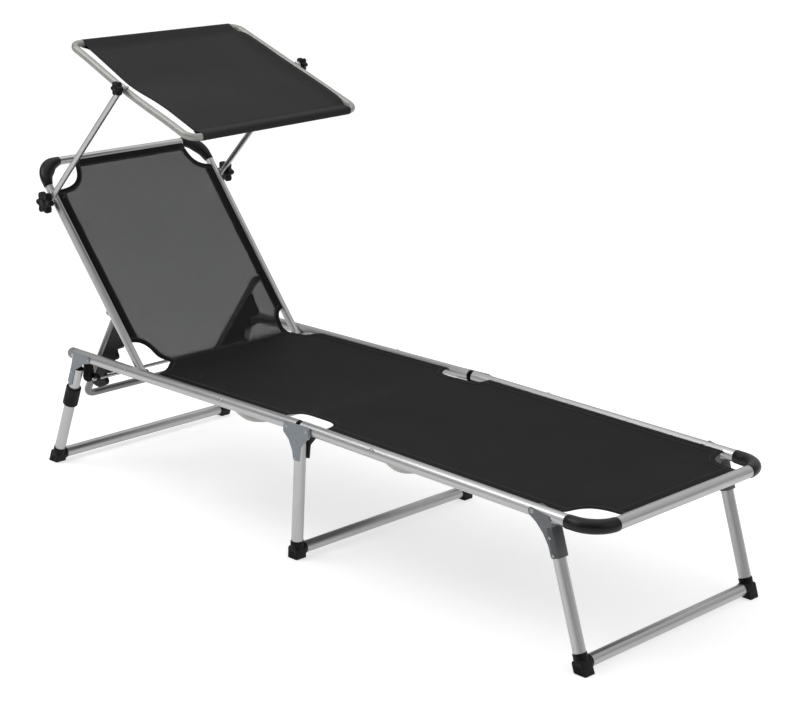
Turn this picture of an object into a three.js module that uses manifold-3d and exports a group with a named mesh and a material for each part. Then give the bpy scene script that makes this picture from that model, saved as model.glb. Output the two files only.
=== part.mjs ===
// Folding three-part sun lounger with an adjustable backrest and a tilting canopy, standing open.
// Millimetres, +Z up, floor at z = 0. X is the width, the foot end is at -Y and the head end at +Y.
// The lower-level positions below are written with y = 0 at the fold between the two rails of a side;
// the finished pieces are moved by -CENTRE_Y so that the origin is under the middle of the object.
// "right" is the -X side and "left" the +X side, as for a person lying on it.
import * as THREE from "three";
import { mergeVertices } from "three/addons/utils/BufferGeometryUtils.js";
import Module from "manifold-3d";

const wasm = await Module();
wasm.setup();
const { Manifold, Mesh } = wasm;

// ---------------------------------------------------------------- driving dimensions
const GAP = 0.3; // air between two pieces that lie against each other
const CENTRE_Y = 63.463; // middle of the object's length, measured from the fold

// side rails
const RAIL_X = 254; // rail axis to the centre plane
const RAIL_R = 12.5;
const RAIL_WALL = 1.2;
const RAIL_SPLIT = 6; // a rail tube ends this far from the fold
const FOLD_Y = 29; // fold pivots each side of the fold
const RAIL_Z = 290; // rail axis at the fold
const RAIL_DROP = 0.01135; // each rail falls this much per mm away from its pivot
const HEAD_RAIL_END = 768;
const HEAD_CAP_END = 785;
const FOOT_RAIL_END = -707.7;
const END_TUBE_Y = -777.5;
const CORNER_R = 13.6; // foot corner sleeve
const CORNER_BEND = 52;
const SEAT_ABOVE = 7.5; // the seat fabric runs into slots in the upper inner side of the rails

// side plates
const PLATE_IN = 266.8; // outer plate, inner face
const PLATE_OUT = 268.3;
const INNER_PLATE_IN = 239.7; // inner plate, the face turned to the centre
const INNER_PLATE_OUT = 241.2;

// legs (y, z of the axis at the top end and at the floor bar)
const LEG_R = 12.5;
const LEG_WALL = 1.2;
const BAR_Z = 18.3; // floor bar axis
const BAR_END = 262.5;
const MID_LEG = { top: [1, 274], foot: [16, BAR_Z] };
const REAR_LEG = { top: [758.8, 249.5], foot: [851.4, BAR_Z], pivot: [705.2, 281.9] };
const FRONT_LEG = { top: [-678.8, 249.5], foot: [-753, BAR_Z], pivot: [-635.3, 286.1] };
const SHOE_HALF = 14.3;
const SHOE_X = [231, 268.2];
const SLEEVE_R = 17.5; // lock sleeve on the rear leg
const SLEEVE_LENGTH = 48;

// backrest
const BACK_PIVOT = [549.5, 277.5];
const BACK_ANGLE = 49.67; // degrees above the rails
const BACK_X = 230.5; // half width at the pivot; it grows by BACK_SPLAY per mm towards the top
const BACK_SPLAY = 0.0125;
const BACK_R = 9.5;
const BACK_TOP = 552.9; // pivot to the axis of the top tube
const BACK_SLEEVE_FROM = 494;
const BACK_BEND = 42;
const BACK_SLEEVE_X = 180;
const BACK_ABOVE = 6.5; // the backrest fabric lies this far in front of the tube axes

// prop behind the backrest
const PROP_T = 165; // its pivots sit in ears behind the back tubes
const PROP_BEHIND = 14;
const PROP_END = [825, 157]; // middle of its lower bar
const PROP_R = 7.5;
const PROP_TOP_X = 204.5;
const PROP_END_X = 188;
const REST_BAR = [730, 224];
const REST_BAR_R = 4;

// canopy
const ARM_X = 254;
const ARM_R = 6.5;
const ARM_T = 455; // lower clamp on the back tube
const ARM_TOP = [563.2, 915.4]; // upper clamp
const CANOPY_FRONT = [353.4, 840.7];
const CANOPY_REAR = [762.1, 986.3];
const CANOPY_X = 238;
const CANOPY_R = 8;
const CANOPY_BEND = 34;

// ---------------------------------------------------------------- helpers
const rad = (d) => (d * Math.PI) / 180;
const railZ = (y) => RAIL_Z - RAIL_DROP * (Math.abs(y) - FOLD_Y);

// A closed three.js geometry as a solid, faces turned outwards.
function solid(geometry) {
  let g = geometry.clone();
  for (const name of ["normal", "uv"]) g.deleteAttribute(name);
  g = mergeVertices(g, 1e-4);
  const tri = new Uint32Array(g.index.array);
  const make = () =>
    new Manifold(new Mesh({ numProp: 3, vertProperties: g.attributes.position.array, triVerts: tri }));
  let made = make();
  if (made.volume() < 0) {
    for (let i = 0; i < tri.length; i += 3) [tri[i + 1], tri[i + 2]] = [tri[i + 2], tri[i + 1]];
    made = make();
  }
  return made;
}

function geometryOf(made) {
  const m = made.getMesh();
  const g = new THREE.BufferGeometry();
  g.setAttribute("position", new THREE.BufferAttribute(new Float32Array(m.vertProperties), 3));
  g.setIndex(new THREE.BufferAttribute(new Uint32Array(m.triVerts), 1));
  return g;
}

const basis = (origin, ex, ey, ez) =>
  new THREE.Matrix4().makeBasis(ex, ey, ez).setPosition(origin);
const V = (x, y, z) => new THREE.Vector3(x, y, z);

// Round bar or pipe from p to q.
function rod(p, q, r, n = 16, inner = 0) {
  const a = V(...p), b = V(...q);
  const d = b.clone().sub(a);
  const L = d.length();
  d.normalize();
  const side = Math.abs(d.x) > 0.9 ? V(0, 1, 0) : V(1, 0, 0);
  const ex = side.clone().sub(d.clone().multiplyScalar(side.dot(d))).normalize();
  const ez = ex.clone().cross(d);
  const profile = inner
    ? [[inner, 0], [r, 0], [r, L], [inner, L], [inner, 0]]
    : [[0, 0], [r, 0], [r, L], [0, L]];
  const g = new THREE.LatheGeometry(profile.map(([u, v]) => new THREE.Vector2(u, v)), n);
  g.applyMatrix4(basis(a, ex, d, ez));
  return solid(g);
}

// Turned piece about the line from p in direction d: profile of [radius, distance].
function turned(p, d, profile, n = 16) {
  const dir = V(...d).normalize();
  const side = Math.abs(dir.x) > 0.9 ? V(0, 1, 0) : V(1, 0, 0);
  const ex = side.clone().sub(dir.clone().multiplyScalar(side.dot(dir))).normalize();
  const ez = ex.clone().cross(dir);
  const g = new THREE.LatheGeometry(profile.map(([u, v]) => new THREE.Vector2(u, v)), n);
  g.applyMatrix4(basis(V(...p), ex, dir, ez));
  return solid(g);
}

// Radius of a round bore of n flats that stays clear of a shaft of radius r.
const bore = (r, n = 16, gap = GAP) => (r + gap) / Math.cos(Math.PI / n);

// A path through given points with its own tangents, for extrudePath.
class PointPath extends THREE.Curve {
  constructor(points) {
    super();
    this.points = points;
  }
  getPoint(t) {
    const k = t * (this.points.length - 1);
    const i = Math.min(Math.floor(k), this.points.length - 2);
    return this.points[i].clone().lerp(this.points[i + 1], k - i);
  }
  getPointAt(u) {
    return this.getPoint(u);
  }
  getSpacedPoints() {
    return this.points.map((p) => p.clone());
  }
  getTangentAt(u) {
    const n = this.points.length - 1;
    const i = Math.round(u * n);
    const a = this.points[Math.max(i - 1, 0)];
    const b = this.points[i];
    const c = this.points[Math.min(i + 1, n)];
    const t = V(0, 0, 0);
    if (i > 0) t.add(b.clone().sub(a).normalize());
    if (i < n) t.add(c.clone().sub(b).normalize());
    return t.normalize();
  }
}

// Tube along points given as [x, y, z].
function sweep(points, r, n = 12, inner = 0) {
  const shape = new THREE.Shape();
  const ring = (radius, k) => new THREE.Vector2(radius * Math.cos((2 * Math.PI * k) / n), radius * Math.sin((2 * Math.PI * k) / n));
  shape.setFromPoints(Array.from({ length: n }, (_, k) => ring(r, k)));
  if (inner) {
    const hole = new THREE.Path();
    hole.setFromPoints(Array.from({ length: n }, (_, k) => ring(inner, n - k)));
    shape.holes.push(hole);
  }
  const path = new PointPath(points.map((p) => V(...p)));
  return solid(
    new THREE.ExtrudeGeometry(shape, { steps: points.length - 1, bevelEnabled: false, extrudePath: path }),
  );
}

// Corner points: line a-b-c rounded at b with radius R, as points from the start of the bend to its end.
function bend(a, b, c, R, n = 6) {
  const A = V(...a), B = V(...b), C = V(...c);
  const u = A.clone().sub(B).normalize(), w = C.clone().sub(B).normalize();
  const half = Math.acos(u.dot(w)) / 2;
  const back = R / Math.tan(half);
  const centre = B.clone().add(u.clone().add(w).normalize().multiplyScalar(R / Math.sin(half)));
  const s = B.clone().add(u.clone().multiplyScalar(back)).sub(centre);
  const e = B.clone().add(w.clone().multiplyScalar(back)).sub(centre);
  const turn = s.angleTo(e);
  const out = [];
  for (let i = 0; i <= n; i++) {
    const t = i / n;
    const v = s.clone().multiplyScalar(Math.sin((1 - t) * turn) / Math.sin(turn)).add(e.clone().multiplyScalar(Math.sin(t * turn) / Math.sin(turn)));
    out.push(centre.clone().add(v).toArray());
  }
  return out;
}

// Flat plate: outline in (y, z), from x0 to x1.
function plateX(outline, x0, x1) {
  const [lo, hi] = [Math.min(x0, x1), Math.max(x0, x1)];
  const shape = new THREE.Shape(outline.map(([y, z]) => new THREE.Vector2(y, z)));
  const g = new THREE.ExtrudeGeometry(shape, { depth: hi - lo, bevelEnabled: false });
  g.applyMatrix4(basis(V(lo, 0, 0), V(0, 1, 0), V(0, 0, 1), V(1, 0, 0)));
  return solid(g);
}

// Plate in a tilted frame: outline in (x, along), thickness from w0 to w1 on the normal.
// The frame stands at [y, z] and its "along" direction makes angle degrees with the horizontal.
function plateTilted(outline, [y, z], angle, w0, w1, holes = []) {
  const shape = new THREE.Shape(outline.map(([x, a]) => new THREE.Vector2(x, a)));
  for (const h of holes) shape.holes.push(new THREE.Path(h.map(([x, a]) => new THREE.Vector2(x, a))));
  const g = new THREE.ExtrudeGeometry(shape, { depth: w1 - w0, bevelEnabled: false });
  const along = V(0, Math.cos(rad(angle)), Math.sin(rad(angle)));
  const normal = V(0, -Math.sin(rad(angle)), Math.cos(rad(angle)));
  g.applyMatrix4(basis(V(0, y, z).add(normal.clone().multiplyScalar(w0)), V(1, 0, 0), along, normal));
  return solid(g);
}

function box(x0, x1, y0, y1, z0, z1) {
  const g = new THREE.BoxGeometry(Math.abs(x1 - x0), y1 - y0, z1 - z0);
  g.translate((x0 + x1) / 2, (y0 + y1) / 2, (z0 + z1) / 2);
  return solid(g);
}

const disc = ([y, z], r, n = 14) =>
  Array.from({ length: n }, (_, k) => [y + r * Math.cos((2 * Math.PI * k) / n), z + r * Math.sin((2 * Math.PI * k) / n)]);
const join = (...parts) => Manifold.union(parts.flat());
const cut = (body, ...tools) => body.subtract(Manifold.union(tools.flat()));
const outlineOf = (left, right) => [...left, ...right.map(([x, a]) => [-x, a]).reverse()];

const MATERIALS = {
  tube: { color: 0xb9bbbd, metalness: 0.9, roughness: 0.35 },
  steel: { color: 0x7d858c, metalness: 0.6, roughness: 0.5 },
  dark: { color: 0x55585b, metalness: 0.6, roughness: 0.5 },
  plastic: { color: 0x1a1a1b, metalness: 0, roughness: 0.6 },
  cap: { color: 0x8a8c8e, metalness: 0.1, roughness: 0.6 },
  fabric: { color: 0x2b2b2c, metalness: 0, roughness: 0.9 },
};
const lounger = new THREE.Group();
function add(name, made, look) {
  const g = geometryOf(made.translate([0, -CENTRE_Y, 0]));
  g.computeVertexNormals();
  const mesh = new THREE.Mesh(g, new THREE.MeshStandardMaterial(MATERIALS[look]));
  mesh.name = name;
  lounger.add(mesh);
}
const SIDES = [["right", -1], ["left", 1]];

// ---------------------------------------------------------------- middle stand
const T_PLATE = [[37.5, 298], [-41.5, 300], [-39, 275], [-32.5, 272], [-13.3, 251], [-10, 220.4], [10, 219.5], [12.5, 238], [23.3, 261], [40, 275]];
const T_RIVETS = [[-FOLD_Y, RAIL_Z, 3.2, 7], [FOLD_Y, RAIL_Z, 3.2, 7], [4, 259.5, 2.6, 4.5], [4, 225, 2.6, 4.5]];
for (const [side, s] of SIDES) {
  const rivets = T_RIVETS.flatMap(([y, z, r, head]) => [
    rod([s * (INNER_PLATE_IN - GAP), y, z], [s * (PLATE_OUT + 1), y, z], r, 8),
    turned([s * (PLATE_OUT - 0.5), y, z], [s, 0, 0], [[0, 0], [head, 0], [head, 1], [head * 0.7, 2.2], [0, 2.6]], 10),
    rod([s * (INNER_PLATE_IN - GAP), y, z], [s * (INNER_PLATE_IN - GAP - 1.6), y, z], head * 0.85, 10),
  ]);
  add(
    `mid_plate_outer_${side}`,
    join(plateX(T_PLATE, s * PLATE_IN, s * PLATE_OUT), box(s * PLATE_IN, s * (PLATE_OUT + 2.4), -41.2, -39.7, 277, 298.5), rivets),
    "steel",
  );
  add(
    `mid_plate_inner_${side}`,
    cut(plateX(T_PLATE, s * INNER_PLATE_IN, s * INNER_PLATE_OUT), T_RIVETS.map(([y, z, r]) => rod([s * 236, y, z], [s * 245, y, z], bore(r, 8), 8))),
    "steel",
  );
}

// A shoe on the end of a leg and of its floor bar.
function shoe(s, leg, along0 = -26, along1 = 24) {
  const [ty, tz] = leg.top, [fy, fz] = leg.foot;
  const L = Math.hypot(ty - fy, tz - fz);
  const d = [(ty - fy) / L, (tz - fz) / L]; // up the leg
  const n = [d[1], -d[0]];
  const at = (a, w) => [fy + d[0] * a + n[0] * w, fz + d[1] * a + n[1] * w];
  const h = SHOE_HALF;
  const outline = [at(along0, -h), at(along0, h), at(along1, h), at(along1, -h)];
  const [x0, x1] = SHOE_X;
  const shape = new THREE.Shape(outline.map(([y, z]) => new THREE.Vector2(y, z)));
  const g = new THREE.ExtrudeGeometry(shape, { depth: x1 - x0 - 2, bevelEnabled: true, bevelThickness: 1, bevelSize: 1, bevelOffset: -1, bevelSegments: 1 });
  g.applyMatrix4(basis(V(s > 0 ? x0 + 1 : -x1 + 1, 0, 0), V(0, 1, 0), V(0, 0, 1), V(1, 0, 0)));
  const body = solid(g).intersect(box(-400, 400, fy - 80, fy + 80, 0, 120));
  const up = (a) => [s * RAIL_X, fy + d[0] * a, fz + d[1] * a];
  return cut(
    body,
    rod(up(15), up(60), bore(LEG_R)),
    rod([s * (BAR_END + GAP), fy, fz], [s * 200, fy, fz], bore(LEG_R)),
  );
}

// Leg tube from its top down to the shoe's bore.
function legTube(s, leg, holes = []) {
  const [ty, tz] = leg.top, [fy, fz] = leg.foot;
  const L = Math.hypot(ty - fy, tz - fz);
  const low = [fy + ((ty - fy) / L) * (15 + GAP), fz + ((tz - fz) / L) * (15 + GAP)];
  const tube = rod([s * RAIL_X, ty, tz], [s * RAIL_X, ...low], LEG_R, 16, LEG_R - LEG_WALL);
  return holes.length ? cut(tube, holes) : tube;
}
const floorBar = (leg) => rod([-BAR_END, ...leg.foot], [BAR_END, ...leg.foot], LEG_R, 16, LEG_R - LEG_WALL);

for (const [side, s] of SIDES) {
  const holes = T_RIVETS.slice(2).map(([y, z, r]) => rod([s * 236, y, z], [s * 272, y, z], bore(r, 8), 8));
  add(`mid_leg_${side}`, legTube(s, MID_LEG, holes), "tube");
  add(`mid_foot_${side}`, shoe(s, MID_LEG), "plastic");
}
add("mid_floor_bar", floorBar(MID_LEG), "tube");

// ---------------------------------------------------------------- head and foot sections
// Plug that closes a rail at the fold, domed so that it clears the other one when folding.
const PLUG = [[0, 0.4], [4, 0.7], [8, 1.6], [11, 2.9], [12.1, 4.3], [12.1, 9], [0, 9]];
const along = (y) => [y, railZ(y)];
function rail(s, sign, end, holes) {
  const dir = [0, sign, -RAIL_DROP];
  const start = sign * RAIL_SPLIT;
  const tube = rod([s * RAIL_X, ...along(start)], [s * RAIL_X, ...along(end)], RAIL_R, 16, RAIL_R - RAIL_WALL);
  return cut(join(tube, turned([s * RAIL_X, 0, railZ(0)], dir, PLUG, 16)), holes);
}
const hole = (s, [y, z], r, x0 = 236, x1 = 272) => rod([s * x0, y, z], [s * x1, y, z], bore(r, 8), 8);

for (const [side, s] of SIDES) {
  add(
    `head_rail_${side}`,
    rail(s, 1, HEAD_RAIL_END, [
      hole(s, [FOLD_Y, RAIL_Z], 3.2),
      hole(s, REAR_LEG.pivot, 3.2, 250),
      hole(s, BACK_PIVOT, 4, 236, 256),
    ]),
    "tube",
  );
  add(
    `head_end_cap_${side}`,
    turned([s * RAIL_X, ...along(HEAD_RAIL_END + GAP)], [0, 1, -RAIL_DROP], [[0, 0], [12.9, 0], [12.9, HEAD_CAP_END - HEAD_RAIL_END - 5], [11.5, HEAD_CAP_END - HEAD_RAIL_END - 2], [9, HEAD_CAP_END - HEAD_RAIL_END - GAP], [0, HEAD_CAP_END - HEAD_RAIL_END - GAP]], 16),
    "cap",
  );
  add(
    `foot_rail_${side}`,
    rail(s, -1, FOOT_RAIL_END, [hole(s, [-FOLD_Y, RAIL_Z], 3.2), hole(s, FRONT_LEG.pivot, 3.2)]),
    "tube",
  );
  // corner sleeve from the end of the rail round to the end tube
  const yStart = FOOT_RAIL_END - GAP;
  const zEnd = railZ(END_TUBE_Y);
  const a = [s * RAIL_X, yStart, zEnd + 0.4], b = [s * RAIL_X, END_TUBE_Y, zEnd], c = [s * 200, END_TUBE_Y, zEnd];
  add(`foot_corner_sleeve_${side}`, sweep([a, ...bend(a, b, c, CORNER_BEND - 0.5, 7), c], CORNER_R, 14), "plastic");
}
add("foot_end_tube", rod([-199.7, END_TUBE_Y, railZ(END_TUBE_Y)], [199.7, END_TUBE_Y, railZ(END_TUBE_Y)], RAIL_R, 16, RAIL_R - RAIL_WALL), "tube");

// Bowed cross tube under the seat.
function brace(y) {
  const z = railZ(y);
  const half = [[241.9, -11], [236, -11.8], [225, -18], [210, -33], [190, -48], [162, -59], [120, -65.5]];
  const pts = [...half.map(([x, d]) => [-x, y, z + d]), [0, y, z - 68], ...half.map(([x, d]) => [x, y, z + d]).reverse()];
  return sweep(pts, 7, 8, 5.8);
}
add("head_brace", brace(240), "tube");
add("foot_brace", brace(-215), "tube");

// rest bar for the prop, hanging from two blocks under the rails
add("prop_rest_bar", rod([-235.5, ...REST_BAR], [235.5, ...REST_BAR], REST_BAR_R, 12), "dark");
const HANGER = [[724, 269], [722.5, 240], [726, 214], [738, 212.5], [756, 213.5], [768, 216], [770.5, 222], [766, 238], [764, 269]];
for (const [side, s] of SIDES) {
  const lower = plateX(HANGER, s * 217, s * 235);
  const upper = plateX([[724, 258], [764, 258], [764, 274.5], [724, 274.5]], s * 217, s * 247);
  const trimmed = plateX([[724, 262], [764, 262], [764, 274.5], [724, 274.5]], s * 217, s * 247);
  const y0 = 715, y1 = 775;
  add(
    `hanger_${side}`,
    cut(
      join(lower, upper.intersect(trimmed)),
      rod([s * RAIL_X, ...along(y0)], [s * RAIL_X, ...along(y1)], bore(RAIL_R)),
      rod([s * 210, ...REST_BAR], [s * 240, ...REST_BAR], bore(REST_BAR_R, 12), 12),
      box(s * 242, s * 260, 700, 790, 255, 268),
    ),
    "plastic",
  );
  add(
    `backrest_bolt_${side}`,
    join(
      rod([s * 217.5, ...BACK_PIVOT], [s * 250, ...BACK_PIVOT], 4, 10),
      turned([s * 219.5, ...BACK_PIVOT], [-s, 0, 0], [[0, 0], [7.5, 0], [7.5, 1.6], [5, 3], [0, 3.4]], 12),
      rod([s * 239.9, ...BACK_PIVOT], [s * 241.1, ...BACK_PIVOT], 6.5, 12),
    ),
    "dark",
  );
}

// seat fabric, one flat piece per section, cut back at the fold, the brackets and the backrest hinge
const FOLD_NOTCH = [[203.5, 3], [203.5, 28], [207, 44], [216, 54], [232, 60], [242.8, 63]];
const headLeft = [...FOLD_NOTCH, [242.8, 478], [236, 484], [222, 488], [210, 498], [205, 512], [202, 524], [200, 532]];
const headRight = [...FOLD_NOTCH, [242.8, 478], [236, 485], [222, 489], [206, 498], [190, 510], [178, 522], [170, 532]];
const footSide = [
  ...FOLD_NOTCH, [242.8, 596], [238.2, 604], [238.2, 684], [232, 690], [210, 694], [192, 703], [179, 722], [174, 745], [172.5, 766.2],
];
const toward = (list, sign) => list.map(([x, a]) => [x, sign * (a - FOLD_Y)]);
add("head_seat_fabric", plateTilted(outlineOf(toward(headLeft, 1), toward(headRight, 1)), [FOLD_Y, RAIL_Z], -0.65, SEAT_ABOVE - 1.1, SEAT_ABOVE + 1.1), "fabric");
add(
  "foot_seat_fabric",
  plateTilted(outlineOf(toward(footSide, -1), toward(footSide, -1)), [-FOLD_Y, RAIL_Z], 0.65, SEAT_ABOVE - 1.1, SEAT_ABOVE + 1.1),
  "fabric",
);

// ---------------------------------------------------------------- rear and front legs
// Pressed bracket: flat side plate(s) and a wrap round the outer side of the leg tube.
const WRAP_OUT = [[14.3, -3], [14.3, 7.4], [12.9, 11.2], [9.2, 13.6], [4, 14.4], [-4, 14.4], [-9.2, 13.6], [-12.9, 11.2], [-14.3, 7.4], [-14.3, -3]];
const WRAP_IN = [[12.8, -3], [12.8, 6.9], [11.5, 10.1], [8.4, 12.2], [3.7, 13], [-3.7, 13], [-8.4, 12.2], [-11.5, 10.1], [-12.8, 6.9], [-12.8, -3]];
function wrap(s, leg, outward, a0, a1, innerFrom) {
  // profile in (x, w): w points away from the object's middle, square to the leg axis; "a" runs down the leg
  const [ty, tz] = leg.top, [fy, fz] = leg.foot;
  const L = Math.hypot(ty - fy, tz - fz);
  const d = V(0, (fy - ty) / L, (fz - tz) / L);
  const w = V(0, -d.z * outward, d.y * outward);
  if (Math.sign(w.y) !== outward) w.negate();
  const x = V(s, 0, 0);
  const keep = ([u, v]) => u > 0 || v >= innerFrom;
  const outline = [...WRAP_OUT, ...[...WRAP_IN].reverse()].map(([u, v]) => (keep([u, v]) ? [u, v] : [u, Math.max(v, innerFrom)]));
  const shape = new THREE.Shape(outline.map(([u, v]) => new THREE.Vector2(u, v)));
  const g = new THREE.ExtrudeGeometry(shape, { depth: a1 - a0, bevelEnabled: false });
  const origin = V(s * RAIL_X, ty, tz).add(d.clone().multiplyScalar(a0));
  g.applyMatrix4(basis(origin, x, w, d));
  return solid(g);
}
const rivetHead = (s, [y, z], x, head) => turned([s * x, y, z], [s, 0, 0], [[0, 0], [head, 0], [head, 0.9], [head * 0.65, 1.9], [0, 2.3]], 10);

const REAR_PLATE = [[703, 291], [742, 289], [757, 284], [762, 272], [768, 252], [774.5, 232], [782, 209.5], [769.5, 206.5], [765.5, 217], [758.5, 236], [754.5, 248], [747, 252], [732, 260.5], [718, 270], [700, 274], [695.5, 282], [697, 288]];
const REAR_RIVETS = [[765.9, 241.2], [774.2, 213.5]];
const FRONT_PLATE = [[-633.7, 293.5], [-656.9, 289.2], [-675.5, 285.4], [-681.9, 273.6], [-684.4, 257], [-688.5, 233.7], [-695.2, 208], [-684.5, 207], [-676.9, 229], [-663.6, 250], [-645.3, 267.8], [-629, 277.7], [-625.6, 284.4], [-627.5, 290.5]];
const FRONT_RIVETS = [[-680, 245.3], [-689.5, 213.5]];
for (const [side, s] of SIDES) {
  const pivotRivet = ([y, z], inner) => [
    rod([s * inner, y, z], [s * (PLATE_OUT + 0.5), y, z], 3.2, 8),
    rivetHead(s, [y, z], PLATE_OUT - 0.3, 6.5),
  ];
  const fixings = (list) => list.flatMap((p) => [rod([s * 260, ...p], [s * (PLATE_OUT + 0.5), ...p], 2.4, 8), rivetHead(s, p, PLATE_OUT - 0.3, 4)]);
  const tubeHoles = (list) => list.map((p) => rod([s * 255, ...p], [s * 270, ...p], bore(2.4, 8), 8));

  add(
    `rear_bracket_${side}`,
    join(
      plateX(REAR_PLATE, s * PLATE_IN, s * PLATE_OUT),
      wrap(s, REAR_LEG, 1, -2, 40, 4),
      pivotRivet(REAR_LEG.pivot, 252),
      fixings(REAR_RIVETS),
    ),
    "steel",
  );
  add(`rear_leg_${side}`, legTube(s, REAR_LEG, tubeHoles(REAR_RIVETS)), "tube");
  add(`rear_foot_${side}`, shoe(s, REAR_LEG), "plastic");

  add(
    `front_bracket_${side}`,
    join(
      plateX(FRONT_PLATE, s * PLATE_IN, s * PLATE_OUT),
      plateX(FRONT_PLATE, s * INNER_PLATE_IN, s * INNER_PLATE_OUT),
      wrap(s, FRONT_LEG, -1, -8, 43, -3),
      pivotRivet(FRONT_LEG.pivot, 238.4),
      rod([s * 238.6, ...FRONT_LEG.pivot], [s * 240, ...FRONT_LEG.pivot], 6, 10),
      fixings(FRONT_RIVETS),
    ),
    "steel",
  );
  add(`front_leg_${side}`, legTube(s, FRONT_LEG, tubeHoles(FRONT_RIVETS)), "tube");
  add(`front_foot_${side}`, shoe(s, FRONT_LEG), "plastic");

  // fluted lock sleeve that slides on the rear leg tube
  const [ty, tz] = REAR_LEG.top, [fy, fz] = REAR_LEG.foot;
  const L = Math.hypot(ty - fy, tz - fz);
  const d = [(fy - ty) / L, (fz - tz) / L];
  const start = (tz - 200) / -d[1];
  const flute = new THREE.Shape(
    Array.from({ length: 28 }, (_, k) => {
      const r = SLEEVE_R - (k % 2 === 0 ? 0.8 : 0);
      return new THREE.Vector2(r * Math.cos((Math.PI * k) / 14), r * Math.sin((Math.PI * k) / 14));
    }),
  );
  const g = new THREE.ExtrudeGeometry(flute, { depth: SLEEVE_LENGTH, bevelEnabled: false });
  const dir = V(0, ...d);
  g.applyMatrix4(basis(V(s * RAIL_X, ty, tz).add(dir.clone().multiplyScalar(start)), V(1, 0, 0), dir.clone().cross(V(1, 0, 0)), dir));
  add(
    `lock_sleeve_${side}`,
    cut(solid(g), rod([s * RAIL_X, ty, tz], [s * RAIL_X, fy, fz], bore(LEG_R, 16))),
    "plastic",
  );
}
add("rear_floor_bar", floorBar(REAR_LEG), "tube");
add("front_floor_bar", floorBar(FRONT_LEG), "tube");

// ---------------------------------------------------------------- backrest
const bd = [Math.cos(rad(BACK_ANGLE)), Math.sin(rad(BACK_ANGLE))];
const bn = [-bd[1], bd[0]];
const backX = (t) => BACK_X + BACK_SPLAY * t;
const back = (t, n = 0) => [BACK_PIVOT[0] + bd[0] * t + bn[0] * n, BACK_PIVOT[1] + bd[1] * t + bn[1] * n];
const PROP_TOP = back(PROP_T, -PROP_BEHIND);
const PROP_LENGTH = Math.hypot(PROP_END[0] - PROP_TOP[0], PROP_END[1] - PROP_TOP[1]);
const ARM_FOOT = back(ARM_T);
for (const [side, s] of SIDES) {
  const at = (t) => [s * backX(t), ...back(t)];
  add(
    `back_tube_${side}`,
    cut(
      join(
        rod(at(11), at(BACK_SLEEVE_FROM - GAP), BACK_R, 16, BACK_R - 1.2),
        rod(at(0), at(16), BACK_R - 1.1, 16),
        plateX(disc(BACK_PIVOT, 8.6, 18), s * 222.5, s * 239),
        plateX([back(PROP_T - 20, -8), back(PROP_T - 9, -17), ...[-6, -2, 3, 8].map((t, i) => back(PROP_T + t, [-20, -21.5, -21.2, -18.5][i])), back(PROP_T + 20, -8)], s * 228, s * 232),
      ),
      rod([s * 215, ...BACK_PIVOT], [s * 245, ...BACK_PIVOT], bore(4, 10), 10),
      rod([s * 215, ...PROP_TOP], [s * 245, ...PROP_TOP], bore(4, 8), 8),
      rod([s * 236, ...ARM_FOOT], [s * 250, ...ARM_FOOT], bore(3, 8), 8),
    ),
    "tube",
  );
  const a = at(BACK_SLEEVE_FROM), b = at(BACK_TOP), c = [s * BACK_SLEEVE_X, ...back(BACK_TOP)];
  add(`back_corner_sleeve_${side}`, sweep([a, ...bend(a, b, c, BACK_BEND, 7), c], BACK_R + 1.2, 14), "plastic");
}
add("back_top_tube", rod([-BACK_SLEEVE_X + GAP, ...back(BACK_TOP)], [BACK_SLEEVE_X - GAP, ...back(BACK_TOP)], BACK_R, 16, BACK_R - 1.2), "tube");
const backLeft = [
  [200, 16], [197, 30], [199, 44], [204, 56], [212, 66], [222.6, 72], [228, 478], [212, 481], [197, 489], [186, 501], [180, 516], [177, 530], [175, 544.5],
];
const backRight = [
  [164, 16], [174, 27], [180, 38], [185, 51], [193, 62], [206, 70.5], [222.6, 75], [228, 480], [206, 486], [186, 492], [168, 504], [156, 520], [148, 536], [145, 544.5],
];
add("backrest_fabric", plateTilted(outlineOf(backLeft, backRight), BACK_PIVOT, BACK_ANGLE, BACK_ABOVE - 1.1, BACK_ABOVE + 1.1), "fabric");

// ---------------------------------------------------------------- prop
const pd = [(PROP_END[0] - PROP_TOP[0]) / PROP_LENGTH, (PROP_END[1] - PROP_TOP[1]) / PROP_LENGTH];
const pn = [pd[1], -pd[0]]; // towards the foot end
const prop = (a, n = 0) => [PROP_TOP[0] + pd[0] * a + pn[0] * n, PROP_TOP[1] + pd[1] * a + pn[1] * n];
{
  const corner = (s) => {
    const a = [s * PROP_TOP_X, ...prop(0)], b = [s * PROP_END_X, ...prop(PROP_LENGTH)], c = [0, ...prop(PROP_LENGTH)];
    return bend(a, b, c, 26, 5);
  };
  const pts = [[-PROP_TOP_X, ...prop(0)], ...corner(-1), ...corner(1).reverse(), [PROP_TOP_X, ...prop(0)]];
  const pins = [-1, 1].flatMap((s) => [
    rod([s * 200, ...PROP_TOP], [s * 236, ...PROP_TOP], 4, 8),
    plateX(disc(PROP_TOP, 8, 12), s * 197, s * 212.5),
    rod([s * 212, ...PROP_TOP], [s * 227.6, ...PROP_TOP], 4.9, 8),
  ]);
  add("prop_bow", join(sweep(pts, PROP_R, 12), pins), "dark");
}
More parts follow.
